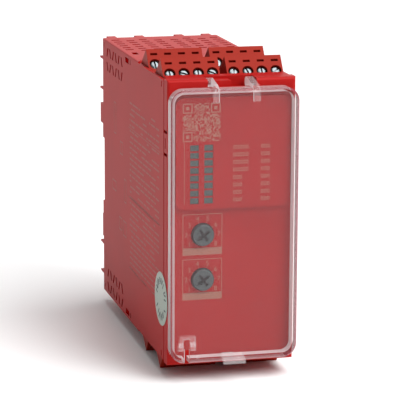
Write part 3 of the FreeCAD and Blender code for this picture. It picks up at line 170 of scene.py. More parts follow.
class RelayStudio(bpy.types.PropertyGroup):
    """Camera and lights."""
    azimuth: bpy.props.FloatProperty(
        name="Azimuth", description="Camera's turn to the right of the front",
        default=math.radians(-13.983), subtype="ANGLE")
    elevation: bpy.props.FloatProperty(
        name="Elevation", description="Camera's height angle",
        default=math.radians(11.997), subtype="ANGLE")
    roll: bpy.props.FloatProperty(
        name="Roll", description="Camera's roll", default=math.radians(0.261), subtype="ANGLE")
    distance: length("Distance", "Camera's distance from its target", 739.393)
    lens: bpy.props.FloatProperty(
        name="Lens", description="Focal length", default=196.12, unit="CAMERA")
    overhead: bpy.props.FloatProperty(
        name="Overhead light", description="Strength of the broad light from above",
        default=2.6, min=0)
    key: bpy.props.FloatProperty(
        name="Key light", description="Power of the front softbox", default=9.0, min=0)
    back: bpy.props.FloatProperty(
        name="Back light", description="Power of the softbox behind", default=6.0, min=0)
    ambient: bpy.props.FloatProperty(
        name="Ambient", description="Brightness of the surroundings", default=0.28, min=0)


SETTINGS = {"relay_finishes": RelayFinishes, "relay_edges": RelayEdges,
            "relay_screws": RelayScrews, "relay_print": RelayPrint,
            "relay_studio": RelayStudio}


# ---------------------------------------------------------------- materials

def node(tree, kind, place=(0, 0), **values):
    """Add a shader node; a value is for an input of that name, or a setting."""
    item = tree.nodes.new(kind)
    item.location = place
    for name, value in values.items():
        if hasattr(item, name):
            setattr(item, name, value)
        else:
            item.inputs[name.replace("_", " ")].default_value = value
    return item


def new_material(name, **surface):
    """A material with one Principled shader, and its tree."""
    material = bpy.data.materials.new(name)
    material.use_nodes = True
    tree = material.node_tree
    tree.nodes.clear()
    output = node(tree, "ShaderNodeOutputMaterial", (400, 0))
    shader = node(tree, "ShaderNodeBsdfPrincipled", (100, 0))
    for name, value in surface.items():
        shader.inputs[name.replace("_", " ")].default_value = value
    tree.links.new(shader.outputs["BSDF"], output.inputs["Surface"])
    return material, tree, shader


def object_space(tree):
    """Coordinates that stay with the object's own mesh."""
    return node(tree, "ShaderNodeTexCoord", (-900, 0)).outputs["Object"]


def shade_between(tree, factor, low, high):
    """A colour ramp between two colours, driven by a factor."""
    ramp = node(tree, "ShaderNodeValToRGB", (-200, 200))
    for element, position, tone in zip(ramp.color_ramp.elements, (0.3, 0.7), (low, high)):
        element.position = position
        element.color = (*tone, 1)
    tree.links.new(factor, ramp.inputs["Fac"])
    return ramp.outputs["Color"]


def noise(tree, vector, scale, detail, place=(-600, 200)):
    """Cloudy noise over a set of coordinates."""
    texture = node(tree, "ShaderNodeTexNoise", place, Scale=scale, Detail=detail)
    tree.links.new(vector, texture.inputs["Vector"])
    return texture.outputs["Fac"]


def bump(tree, shader, height, strength, distance):
    """Raise and lower a surface by a height."""
    relief = node(tree, "ShaderNodeBump", (-200, -300), Strength=strength, Distance=distance)
    tree.links.new(height, relief.inputs["Height"])
    tree.links.new(relief.outputs["Normal"], shader.inputs["Normal"])


def tinted(base, factor):
    """A colour made lighter or darker."""
    return tuple(min(1.0, channel * factor) for channel in base)


def moulded(name, base, roughness, specular=0.4):
    """Moulded plastic: fine spark-eroded grain and a slight cloudiness."""
    material, tree, shader = new_material(name, Roughness=roughness, Specular_IOR_Level=specular)
    space = object_space(tree)
    cloud = noise(tree, space, 45.0, 2.0)
    tree.links.new(shade_between(tree, cloud, tinted(base, 0.95), tinted(base, 1.05)),
                   shader.inputs["Base Color"])
    grain = noise(tree, space, 2400.0, 2.0, (-600, -300))
    bump(tree, shader, grain, strength=0.05, distance=0.04 * MM)
    return material


def metal(name, base, roughness=0.3):
    """Plated metal with fine drawn marks."""
    material, tree, shader = new_material(name, Metallic=1.0, Roughness=roughness)
    streak = noise(tree, object_space(tree), 900.0, 4.0)
    tree.links.new(shade_between(tree, streak, tinted(base, 0.82), base), shader.inputs["Base Color"])
    bump(tree, shader, streak, strength=0.15, distance=0.03 * MM)
    return material


def printed(name, base):
    """Thin, slightly uneven screen print."""
    material, tree, shader = new_material(name, Roughness=0.5, Specular_IOR_Level=0.3)
    worn = noise(tree, object_space(tree), 2600.0, 3.0)
    tree.links.new(shade_between(tree, worn, tinted(base, 0.82), tinted(base, 1.08)),
                   shader.inputs["Base Color"])
    return material


def board_green(name):
    """Solder mask with faint copper tracks beneath it."""
    material, tree, shader = new_material(name, Roughness=0.35)
    tracks = node(tree, "ShaderNodeTexBrick", (-600, 200), Scale=420.0, Mortar_Size=0.03,
                  Color1=(0.015, 0.10, 0.035, 1), Color2=(0.02, 0.13, 0.045, 1),
                  Mortar=(0.035, 0.20, 0.07, 1))
    tree.links.new(object_space(tree), tracks.inputs["Vector"])
    tree.links.new(tracks.outputs["Color"], shader.inputs["Base Color"])
    return material


def clear_plastic(name, tone, body, roughness=0.08, glow=0.0):
    """Clear moulding of an even tone that lets light through; the tone paints light reflected in it,
    and the glow, where set, is painted light.
    """
    material, tree, shader = new_material(
        name, Roughness=roughness, IOR=1.49, Specular_IOR_Level=0.9, Alpha=body,
        Emission_Color=(*tone, 1), Emission_Strength=glow)
    cloud = noise(tree, object_space(tree), 60.0, 2.0)
    tree.links.new(shade_between(tree, cloud, tinted(tone, 0.96), tinted(tone, 1.04)),
                   shader.inputs["Base Color"])
    return material


FINISHES = {}


def make_finishes(settings):
    """Make every material, under the name of the finish that it gives."""
    FINISHES.update({
        "housing": moulded("housing_red", settings.housing, 0.5, specular=0.12),
        # Painted shade: darker red without specular, for faces inside the slits and snap windows.
        "shade": moulded("housing_painted_shade", settings.shade, 0.8, specular=0.0),
        "terminal": moulded("terminal_red", settings.terminal, 0.5, specular=0.1),
        # Painted reflection: grey veil on the cover's flat faces.
        "cover": clear_plastic("cover_clear", settings.clear, body=0.105),
        # Painted sheen: pale walls of the cover.
        "cover_wall_sheen": clear_plastic("cover_wall_sheen", settings.rim, body=0.62),
        # Painted reflection: rosy grey of the outer bend.
        "cover_bend_reflection": clear_plastic("cover_bend_reflection", settings.bend, body=0.34),
        # Painted highlight: near-white cover edges.
        "cover_edge_glint": clear_plastic("cover_edge_glint", settings.glint, body=0.80),
        # Painted sheen: pale clear arms, loop and tab.
        "cover_thick_sheen": clear_plastic("cover_thick_sheen", settings.thick, body=0.17, roughness=0.05),
        # Painted light: the cover's inner walls glow with emission, though no lamp is there.
        "cover_painted_glow": clear_plastic("cover_painted_glow", settings.rim, body=0.86, glow=0.42),
        # Painted reflection: red on the cover's right-facing rim.
        "cover_right_rim_reflection": clear_plastic("cover_right_rim_reflection", settings.right_rim_reflection, body=0.80),
        "selector": moulded("selector_grey", settings.selector, 0.45),
        # Painted shade: the selectors' grey darkened for the walls and floor of the screwdriver
        # cross.
        "recess": moulded("selector_recess", tinted(settings.selector, 0.3), 0.6),
        "window": moulded("window_grey", settings.window, 0.3, specular=0.3),
        "print": printed("front_print", settings.printing),
        "side_print": printed("side_print", settings.side_printing),
        "label": printed("label_paper", settings.label),
        "ink": printed("label_ink", settings.ink),
        "zinc": metal("zinc_plate", settings.zinc, 0.26),
        "nickel": metal("nickel_plate", (0.62, 0.60, 0.56)),
        "brass": metal("tinned_brass", (0.75, 0.62, 0.34)),
        "steel": metal("spring_steel", (0.5, 0.5, 0.52)),
        "can": metal("capacitor_can", (0.6, 0.6, 0.62), 0.35),
        "black": moulded("moulded_black", (0.02, 0.02, 0.022), 0.4),
        "foot": moulded("foot_grey", (0.09, 0.09, 0.095), 0.45),
        "led": moulded("indicator_body", (0.8, 0.78, 0.55), 0.25),
        "board": board_green("circuit_board"),
    })


CARRIED = {
    "window": ["left_light_guide", "right_light_guide"],
    "led": ["status_leds"],
    "board": ["front_board", "top_terminal_board", "bottom_terminal_board", "main_board",
              "logic_board"],
    "black": ["upper_switch", "lower_switch", "contact_relay_1", "contact_relay_2",
              "contact_relay_3", "contact_relay_4", "power_transformer"]
             + ["header_" + terminal for terminal in TERMINALS],
    "can": ["buffer_capacitors"],
    "brass": ["header_pins"],
    "nickel": ["clamps_" + terminal for terminal in TERMINALS],
    "steel": ["foot_spring"],
    "foot": ["rail_foot"],
}


def dress(obj, finish):
    """Give an object one finish."""
    obj.data.materials.clear()
    obj.data.materials.append(FINISHES[finish])


# ---------------------------------------------------------------- modelling helpers

def activate(obj):
    """Select one object alone and make it active."""
    if bpy.context.object and bpy.context.object.mode != "OBJECT":
        bpy.ops.object.mode_set(mode="OBJECT")
    bpy.ops.object.select_all(action="DESELECT")
    obj.select_set(True)
    bpy.context.view_layer.objects.active = obj


def settle(obj):
    """Move an object's place into its mesh."""
    activate(obj)
    bpy.ops.object.transform_apply(location=True, rotation=True, scale=True)
    return obj


def add_block(name, low, high):
    """A cube primitive stretched between two corners."""
    bpy.ops.object.select_all(action="DESELECT")
    bpy.ops.mesh.primitive_cube_add(size=1, location=(low + high) / 2)
    block = bpy.context.object
    block.name = name
    block.scale = high - low
    return settle(block)


def join(name, pieces):
    """Join objects into one piece."""
    activate(pieces[0])
    for piece in pieces[1:]:
        piece.select_set(True)
    bpy.ops.object.join()
    joined = bpy.context.object
    joined.name = name
    return settle(joined)


def apply_bevel(obj, width, angle=35.0):
    """Round the edges that turn by more than an angle."""
    activate(obj)
    bevel = obj.modifiers.new("Edges", "BEVEL")
    bevel.width = width
    bevel.segments = 2
    bevel.limit_method = "ANGLE"
    bevel.angle_limit = math.radians(angle)
    bevel.use_clamp_overlap = True
    bevel.harden_normals = False
    bpy.ops.object.modifier_apply(modifier=bevel.name)


def smooth(obj, angle=40.0):
    """Smooth shading that leaves large flat faces flat."""
    activate(obj)
    bpy.ops.object.shade_smooth_by_angle(angle=math.radians(angle))
    weighted = obj.modifiers.new("Normals", "WEIGHTED_NORMAL")
    weighted.keep_sharp = True
    bpy.ops.object.modifier_apply(modifier=weighted.name)


def cut(obj, cutters):
    """Cut the joined cutters out of an object."""
    tool = join("cutter", cutters)
    activate(obj)
    boolean = obj.modifiers.new("Cut", "BOOLEAN")
    boolean.operation = "DIFFERENCE"
    boolean.solver = "EXACT"
    boolean.object = tool
    bpy.ops.object.modifier_apply(modifier=boolean.name)
    bpy.data.objects.remove(tool)


def stamp(name, source, matrix):
    """A copy of an object with its own mesh, placed by a matrix."""
    mesh = source.data.copy()
    mesh.transform(matrix)
    copy = bpy.data.objects.new(name, mesh)
    bpy.context.scene.collection.objects.link(copy)
    return copy


def copy_of_node(name, source):
    """A clean copy of a CAD node: doubles merged and flat faces rejoined."""
    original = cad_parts[source]
    copy = bpy.data.objects.new(name, original.data.copy())
    bpy.context.scene.collection.objects.link(copy)
    activate(copy)
    bpy.ops.object.mode_set(mode="EDIT")
    bpy.ops.mesh.select_all(action="SELECT")
    bpy.ops.mesh.remove_doubles(threshold=0.002 * MM)
    bpy.ops.mesh.dissolve_limited(angle_limit=math.radians(1.0))
    bpy.ops.object.mode_set(mode="OBJECT")
    return copy


def fit(piece, finish, body, source):
    """Dress a finished piece and let it stand for a CAD node."""
    dress(piece, finish)
    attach(piece, body)
    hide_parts(source)
    return piece


def soften(source, finish, width, body):
    """Replace a hard-edged CAD node by a copy with rounded edges."""
    piece = copy_of_node(source + "_moulding", source)
    apply_bevel(piece, width)
    smooth(piece)
    return fit(piece, finish, body, source)


# ---------------------------------------------------------------- operators

class RELAY_OT_finishes(bpy.types.Operator):
    """Make the materials and dress the carried-over nodes."""
    bl_idname = "relay.finishes"
    bl_label = "Finishes"

    def execute(self, context):
        make_finishes(context.scene.relay_finishes)
        for finish, names in CARRIED.items():
            for name in names:
                dress(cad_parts[name], finish)
        return {"FINISHED"}


# Where the vent slits and snap windows lie, from front to rear; shade is painted in and behind them.
SLITS_FROM = FRONT_Y + 55 * MM
SLITS_TO = FRONT_Y + 104 * MM


class RELAY_OT_housing(bpy.types.Operator):
    """Soften the moulded edges of the shell and its front cap, and paint shade in and behind their
    slits and snap windows.
    """
    bl_idname = "relay.housing"
    bl_label = "Housing"

    def execute(self, context):
        width = context.scene.relay_edges.housing
        shell = soften("housing_shell", "housing", width, "housing")
        self.shade(shell, width * 1.2)
        cap = soften("front_cap", "housing", width, "housing")
        self.shade(cap, 0)
        return {"FINISHED"}

    def shade(self, piece, skin):
        """Paint shade, a darker red without sheen, on what lies under the shell's skin, in and behind
        the slits and snap windows.
        """
        piece.data.materials.append(FINISHES["shade"])
        for face in piece.data.polygons:
            across, along, up = face.center
            inside = (SHELL_LOW.x + skin < across < SHELL_HIGH.x - skin
                      and SHELL_LOW.z + skin < up < SHELL_HIGH.z - skin)
            if inside and SLITS_FROM < along < SLITS_TO:
                face.material_index = 1


# A plug's lean and section, the making of its wells and screws, and each screw's turn in degrees.
LEAN = math.radians(38.0)
PLUG_THICK = 10.5 * MM
PLUG_BEVEL = 0.8 * MM
WAYS = 4
WELL_SIDES = 40
WELL_CUTTER = 4.2 * MM
WELL_MIDDLE = 1.0 * MM
DOME_STEPS = 6
DOME_FULLNESS = 0.8
SPIN_STEPS = 32
SLOT_EDGE = 0.06 * MM
TURNS = {
    "top_front_left": (92, 160, 88, 155), "top_front_right": (75, 108, 90, 40),
    "top_rear_left": (96, 30, 70, 140), "top_rear_right": (86, 120, 15, 60),
    "bottom": (20, 75, 130, 165),
}


def plug_frame(terminal):
    """Place of a plug's own frame: its screw face at Y 0, its upper edge at the origin."""
    low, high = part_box("plug_" + terminal)
    across = (low.x + high.x) / 2
    reach = PLUG_THICK * math.cos(LEAN) - PLUG_BEVEL * math.sin(LEAN)
    lean = Matrix.Rotation(-LEAN, 4, "X")
    if terminal.startswith("top"):
        return Matrix.Translation((across, high.y - reach, high.z)) @ lean
    turned_over = Matrix.Translation((across, high.y - reach, low.z)) @ Matrix.Rotation(
        math.pi, 4, "Y")
    return turned_over @ lean


def way_offsets(pitch):
    """Places of a plug's ways to each side of its middle."""
    return [pitch * (way - (WAYS - 1) / 2) for way in range(WAYS)]


class RELAY_OT_plugs(bpy.types.Operator):
    """Round the wells and edges of the terminal plugs."""
    bl_idname = "relay.plugs"
    bl_label = "Terminal plugs"

    def execute(self, context):
        screws = context.scene.relay_screws
        first = TERMINALS[0]
        form = copy_of_node("plug_form", "plug_" + first)
        form.data.transform(plug_frame(first).inverted())
        wells = []
        for across in way_offsets(screws.pitch):
            bpy.ops.object.select_all(action="DESELECT")
            bpy.ops.mesh.primitive_cylinder_add(
                vertices=WELL_SIDES, radius=screws.well, depth=WELL_CUTTER,
                location=(across, WELL_MIDDLE, -screws.level), rotation=(math.pi / 2, 0, 0))
            wells.append(bpy.context.object)
        cut(form, wells)
        apply_bevel(form, context.scene.relay_edges.plugs)
        smooth(form)
        for terminal in TERMINALS:
            body = "plug_" + terminal
            piece = stamp(body + "_moulding", form, plug_frame(terminal))
            fit(piece, "terminal", body, body)
        bpy.data.objects.remove(form)
        return {"FINISHED"}


class RELAY_OT_screws(bpy.types.Operator):
    """Turn the domed, slotted clamp screws."""
    bl_idname = "relay.screws"
    bl_label = "Screws"

    def execute(self, context):
        sizes = context.scene.relay_screws
        form = self.turn_screw(sizes)
        for terminal in TERMINALS:
            turns = TURNS.get(terminal, TURNS["bottom"])
            place = plug_frame(terminal)
            copies = []
            for across, turn in zip(way_offsets(sizes.pitch), turns):
                spot = Matrix.Translation((across, 0, -sizes.level))
                angle = Matrix.Rotation(-math.radians(turn), 4, "Y")
                copies.append(stamp("screw", form, place @ spot @ angle))
            piece = join(f"screws_{terminal}_turned", copies)
            fit(piece, "zinc", "plug_" + terminal, "screws_" + terminal)
        bpy.data.objects.remove(form)
        return {"FINISHED"}

    def turn_screw(self, sizes):
        """One screw about the Y axis, its crown in front."""
        shoulder = sizes.sink + sizes.crown
        profile = [(0, sizes.sink)]
        for step in range(1, DOME_STEPS + 1):
            angle = math.pi / 2 * step / DOME_STEPS
            profile.append((sizes.head * math.sin(angle) ** DOME_FULLNESS,
                            shoulder - sizes.crown * math.cos(angle)))
        profile += [(sizes.head, sizes.seat), (sizes.shank, sizes.seat),
                    (sizes.shank, sizes.end), (0, sizes.end)]
        mesh = bpy.data.meshes.new("screw_form")
        mesh.from_pydata([(across, depth, 0) for across, depth in profile],
                         [(index, index + 1) for index in range(len(profile) - 1)], [])
        form = bpy.data.objects.new("screw_form", mesh)
        bpy.context.scene.collection.objects.link(form)
        activate(form)
        bpy.ops.object.mode_set(mode="EDIT")
        bpy.ops.mesh.select_all(action="SELECT")
        bpy.ops.mesh.spin(steps=SPIN_STEPS, angle=2 * math.pi, center=(0, 0, 0), axis=(0, 1, 0))
        bpy.ops.mesh.select_all(action="SELECT")
        bpy.ops.mesh.remove_doubles(threshold=0.01 * MM)
        bpy.ops.mesh.normals_make_consistent(inside=False)
        bpy.ops.object.mode_set(mode="OBJECT")
        reach = sizes.head * 1.5
        half = sizes.slot_width / 2
        slot = add_block("slot", Vector((-reach, -sizes.sink, -half)),
                         Vector((reach, sizes.sink + sizes.slot_depth, half)))
        cut(form, [slot])
        apply_bevel(form, SLOT_EDGE, 50.0)
        smooth(form, 35.0)
        return form


# The cover's finishes, which paint its reflections, highlights, sheen and glow, and the bounds of
# place and of turn that sort its faces.
COVER_FINISHES = ["cover", "cover_wall_sheen", "cover_bend_reflection", "cover_edge_glint", "cover_thick_sheen", "cover_painted_glow",
                  "cover_right_rim_reflection"]
COVER_MIDDLE = (COVER_LOW + COVER_TOP) / 2
PROUD_FRONT = COVER_FRONT - 0.05 * MM
PROUD_TOP = COVER_TOP + 0.1 * MM
FLAT = 0.9
BENT = 0.2
RIGHTWARD = 0.3


class RELAY_OT_cover(bpy.types.Operator):
    """Finish the hinged clear cover with painted reflections, highlights and glow: thin front, pale
    rim, thick arms, loop and tab.
    """
    bl_idname = "relay.cover"
    bl_label = "Clear cover"

    def execute(self, context):
        width = context.scene.relay_edges.cover
        piece = soften("clear_cover", "cover", width, "cover")
        for finish in COVER_FINISHES[1:]:
            piece.data.materials.append(FINISHES[finish])
        for face in piece.data.polygons:
            face.material_index = COVER_FINISHES.index(self.finish_of(face, width))
        return {"FINISHED"}

    def finish_of(self, face, width):
        """The finish of one face of the cover, with its painted light, by its place, its turn and its
        width.
        """
        if face.center.y < PROUD_FRONT or face.center.z > PROUD_TOP:
            narrow = face.area < width * 1.2 * self.longest_side(face)
            return "cover_edge_glint" if narrow else "cover_thick_sheen"
        flatness = abs(face.normal.y)
        if flatness > FLAT:
            return "cover"
        outward = Vector((face.center.x, 0, face.center.z - COVER_MIDDLE)).dot(face.normal)
        if outward < 0:
            return "cover_painted_glow"
        # Right-facing outer faces get the painted red reflection; the others a painted rosy
        # reflection or a pale sheen.
        if face.normal.x > RIGHTWARD:
            return "cover_right_rim_reflection"
        return "cover_bend_reflection" if flatness > BENT else "cover_wall_sheen"

    def longest_side(self, face):
        """The length of the longest edge round a face."""
        corners = [face.id_data.vertices[index].co for index in face.vertices]
        return max((a - b).length for a, b in zip(corners, corners[1:] + corners[:1]))


# Depth of the cross below a selector's face, and its reach from the middle.
RECESS_FROM = 0.25 * MM
RECESS_TO = 1.2 * MM
RECESS_REACH = 3.2 * MM


class RELAY_OT_selectors(bpy.types.Operator):
    """Finish the rotary selectors, with painted shade in their screwdriver cross."""
    bl_idname = "relay.selectors"
    bl_label = "Selectors"

    def execute(self, context):
        width = context.scene.relay_edges.selectors
        for name in [level + "_selector" for level in LEVELS]:
            piece = soften(name, "selector", width, name)
            self.paint_cross_shade(piece, *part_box(name))
        return {"FINISHED"}

    def paint_cross_shade(self, piece, low, high):
        """Paint shade on the walls and the floor of the cross."""
        piece.data.materials.append(FINISHES["recess"])
        middle = (low + high) / 2
        for face in piece.data.polygons:
            deep = face.center.y - low.y
            wide = math.hypot(face.center.x - middle.x, face.center.z - middle.z)
            if RECESS_FROM < deep < RECESS_TO and wide < RECESS_REACH:
                face.material_index = 1


class Stamps:
    """Thin printed patches, all stamped from one cube."""

    def __init__(self, film):
        self.film = film
        self.cube = add_block("stamp", Vector((0, 0, 0)), Vector((1, 1, 1)))
        self.patches = []

    def box(self, low, high):
        """A patch between two corners."""
        size = Matrix.Diagonal((*(high - low), 1))
        self.patches.append(stamp("patch", self.cube, Matrix.Translation(low) @ size))
        return self.patches[-1]

    def front(self, low_x, high_x, low_z, high_z, level):
        """A patch on a surface that faces the front, in millimetres."""
        low, high = at(low_x, level, low_z), at(high_x, level, high_z)
        return self.box(Vector((low.x, low.y - self.film, low.z)), high)

    def outline(self, low_x, high_x, low_z, high_z, level, wide):
        """Four printed lines round a rectangle."""
        self.front(low_x, high_x, low_z, low_z + wide, level)
        self.front(low_x, high_x, high_z - wide, high_z, level)
        self.front(low_x, low_x + wide, low_z + wide, high_z - wide, level)
        self.front(high_x - wide, high_x, low_z + wide, high_z - wide, level)

    def side(self, low_y, high_y, low_z, high_z):
        """A patch on the shell's left side, in millimetres behind the front and up."""
        low, high = at(0, low_y, low_z), at(0, high_y, high_z)
        return self.box(Vector((SHELL_LOW.x - self.film, low.y, low.z)),
                        Vector((SHELL_LOW.x, high.y, high.z)))

    def finish(self, name, finish, slot):
        """Join the patches into one printed piece."""
        bpy.data.objects.remove(self.cube)
        piece = join(name, self.patches)
        dress(piece, finish)
        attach(piece, "housing")
        return piece


# Height of a figure as a share of its font's size.
FIGURE_SHARE = 0.72


def add_figure(text, x, z, height, film):
    """A printed figure that faces the front, centred on a point."""
    bpy.ops.object.select_all(action="DESELECT")
    bpy.ops.object.text_add(location=(0, 0, 0))
    figure = bpy.context.object
    figure.data.body = text
    figure.data.size = height / FIGURE_SHARE
    figure.data.align_x = "CENTER"
    figure.data.align_y = "CENTER"
    figure.data.extrude = film / 2
    bpy.ops.object.convert(target="MESH")
    figure = bpy.context.object
    place = at(x, 0, z)
    figure.matrix_world = Matrix.Translation((place.x, place.y - film / 2, place.z)) @ \
        Matrix.Rotation(math.radians(90), 4, "X")
    return settle(figure)


# The dials' places in degrees, and their print in millimetres from a selector's middle.
DIAL_FIRST = 216.0
DIAL_STEP = 36.0
DIAL_COUNT = 8
DIAL_LEFT = 7.0
DIAL_RIGHT = 6.9
DIAL_TOP = 7.2
DIAL_BOTTOM = 4.8
BAND_TOP = 4.7
BAND_BOTTOM = 7.1
FIGURE_RADIUS = 5.75
TICK_FROM = 4.1
TICK_TO = 4.6
TICK_HALF = 0.12


class RELAY_OT_dials(bpy.types.Operator):
    """Print the two dials: frame, figures, ticks and a plain band."""
    bl_idname = "relay.dials"
    bl_label = "Dial print"

    def execute(self, context):
        sizes = context.scene.relay_print
        for level in LEVELS:
            low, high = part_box(level + "_selector")
            x = (low.x + high.x) / 2 / MM
            z = ((low.z + high.z) / 2 - BASE_Z) / MM
            left, right = x - DIAL_LEFT, x + DIAL_RIGHT
            stamps = Stamps(sizes.film)
            stamps.outline(left, right, z - DIAL_BOTTOM, z + DIAL_TOP, 0, sizes.line / MM)
            stamps.front(left, right, z - BAND_BOTTOM, z - BAND_TOP, 0)
            for count in range(DIAL_COUNT):
                self.add_place(stamps, sizes, x, z, count)
            stamps.finish(f"{level}_dial_print", "print", "housing_red")
        return {"FINISHED"}

    def add_place(self, stamps, sizes, x, z, count):
        """The figure and the tick of one marked place round a dial."""
        angle = math.radians(DIAL_FIRST - DIAL_STEP * count)
        across, up = math.cos(angle) * FIGURE_RADIUS, math.sin(angle) * FIGURE_RADIUS
        stamps.patches.append(
            add_figure(str(count + 1), x + across, z + up, sizes.figure, sizes.film))
        tick = stamps.front(x + TICK_FROM, x + TICK_TO, z - TICK_HALF, z + TICK_HALF, 0)
        centre = at(x, 0, z)
        tick.data.transform(Matrix.Translation(centre) @ Matrix.Rotation(-angle, 4, "Y")
                            @ Matrix.Translation(-centre))


# Panel print in millimetres from the middle and the lower edge; the code's targets in cells.
GUIDE_LINE = (-17.0, -16.82, 56.6, 77.9)
TOP_ROW = 75.9
ROW_PITCH = 2.6
WORD_LEFT = 0.1
WORD_LETTERS = (5, 5, 5, 5, 3, 3, 3, 3)
NUMBER_LEFT = 9.9
NUMBER_LETTERS = 3
LETTER_PITCH = 1.12
LETTER_WIDTH = 0.82
LETTER_HALF = 0.62
LETTER_STROKE = 0.2
CODE_LEFT = -17.5
CODE_LOW = 78.2
TARGET = 9
CORE = 3


class RELAY_OT_panel(bpy.types.Operator):
    """Print the display panel: a square of cells, a line and plain blocks for words."""
    bl_idname = "relay.panel"
    bl_label = "Panel print"

    def execute(self, context):
        sizes = context.scene.relay_print
        level = -PANEL_RISE / MM
        self.add_code(sizes, level)
        stamps = Stamps(sizes.film)
        stamps.front(*GUIDE_LINE, level)
        for row, letters in enumerate(WORD_LETTERS):
            z = TOP_ROW - ROW_PITCH * row
            self.add_blocks(stamps, WORD_LEFT, z, letters, level)
            self.add_blocks(stamps, NUMBER_LEFT, z, NUMBER_LETTERS, level)
        stamps.finish("panel_print", "print", "housing_red")
        return {"FINISHED"}

    def add_blocks(self, stamps, x, z, count, level):
        """A row of small hollow blocks, as wide and high as letters."""
        for letter in range(count):
            left = x + letter * LETTER_PITCH
            stamps.outline(left, left + LETTER_WIDTH, z - LETTER_HALF, z + LETTER_HALF, level,
                           LETTER_STROKE)

    def add_code(self, sizes, level):
        """A decorative square: three corner targets and seeded random cells."""
        chance = random.Random(11)
        cells = sizes.cells
        side = sizes.code / MM / cells
        far = cells - TARGET
        targets = [(0, 0), (0, far), (far, far)]
        stamps = Stamps(sizes.film)
        for column, row in targets:
            self.add_target(stamps, CODE_LEFT + column * side, CODE_LOW + row * side, side, level)
        for column in range(cells):
            for row in range(cells):
                near = any(-1 <= column - c <= TARGET and -1 <= row - r <= TARGET
                           for c, r in targets)
                if not near and chance.random() < 0.5:
                    x, z = CODE_LEFT + column * side, CODE_LOW + row * side
                    stamps.front(x, x + side, z, z + side, level)
        stamps.finish("square_code", "print", "housing_red")

    def add_target(self, stamps, x, z, side, level):
        """A ring of cells round a solid core."""
        stamps.outline(x, x + TARGET * side, z, z + TARGET * side, level, side)
        low_x, low_z = x + CORE * side, z + CORE * side
        stamps.front(low_x, low_x + CORE * side, low_z, low_z + CORE * side, level)


# Side print in millimetres behind the front and above the lower edge.
SIDE_FRONT = 12.0
SIDE_REAR = 60.0
SIDE_TOP = 82.0
LINE_PITCH = 2.05
LINE_COUNT = 31
INDENT = 6.0
INDENT_EVERY = 6
BAR_HALF = 0.32
BAR_SHORT = 2.5
BAR_LONG = 9.0
BAR_GAP = 0.9
BAR_CHANCE = 0.86
RULES = (72.6, 46.8, 20.2)
RULE_REACH = 2.0
RULE_WIDTH = 0.25
FRAMES = ((66, 30, 6, 6), (74, 31, 5, 5), (66, 43, 4, 9), (84, 44, 7, 4), (72, 60, 5, 5),
          (84, 66, 4, 12))
FRAME_LINE = 0.5


class RELAY_OT_side_print(bpy.types.Operator):
    """Print faint rows of plain bars, rules and small empty frames on the left side."""
    bl_idname = "relay.side_print"
    bl_label = "Side print"

    def execute(self, context):
        stamps = Stamps(context.scene.relay_print.film)
        self.add_bars(stamps)
        for z in RULES:
            stamps.side(SIDE_FRONT - RULE_REACH, SIDE_REAR + RULE_REACH, z, z + RULE_WIDTH)
        for y, z, wide, tall in FRAMES:
            self.add_frame(stamps, y, z, y + wide, z + tall)
        stamps.finish("side_print", "side_print", "housing_red")
        return {"FINISHED"}

    def add_bars(self, stamps):
        """Lines of bars of seeded random lengths, with a few left out."""
        chance = random.Random(5)
        for line in range(LINE_COUNT):
            z = SIDE_TOP - LINE_PITCH * line
            y = SIDE_FRONT + (INDENT if line % INDENT_EVERY == 0 else 0)
            while y < SIDE_REAR:
                end = min(y + chance.uniform(BAR_SHORT, BAR_LONG), SIDE_REAR)
                if chance.random() < BAR_CHANCE:
                    stamps.side(y, end, z - BAR_HALF, z + BAR_HALF)
                y = end + BAR_GAP

    def add_frame(self, stamps, front, low, rear, high):
        """Four lines round an empty rectangle."""
        stamps.side(front, rear, low, low + FRAME_LINE)
        stamps.side(front, rear, high - FRAME_LINE, high)
        stamps.side(front, front + FRAME_LINE, low + FRAME_LINE, high - FRAME_LINE)
        stamps.side(rear - FRAME_LINE, rear, low + FRAME_LINE, high - FRAME_LINE)


# The label's strokes: their arcs and steps in degrees, their shifts in millimetres.
LABEL_ARCS = ((20, 165), (200, 340))
STROKE_STEP = 24
STROKE_RADIUS = 6.3 * MM
STROKE_HALF = 0.3 * MM
STROKE_SHIFTS = (-0.85, 0.75)


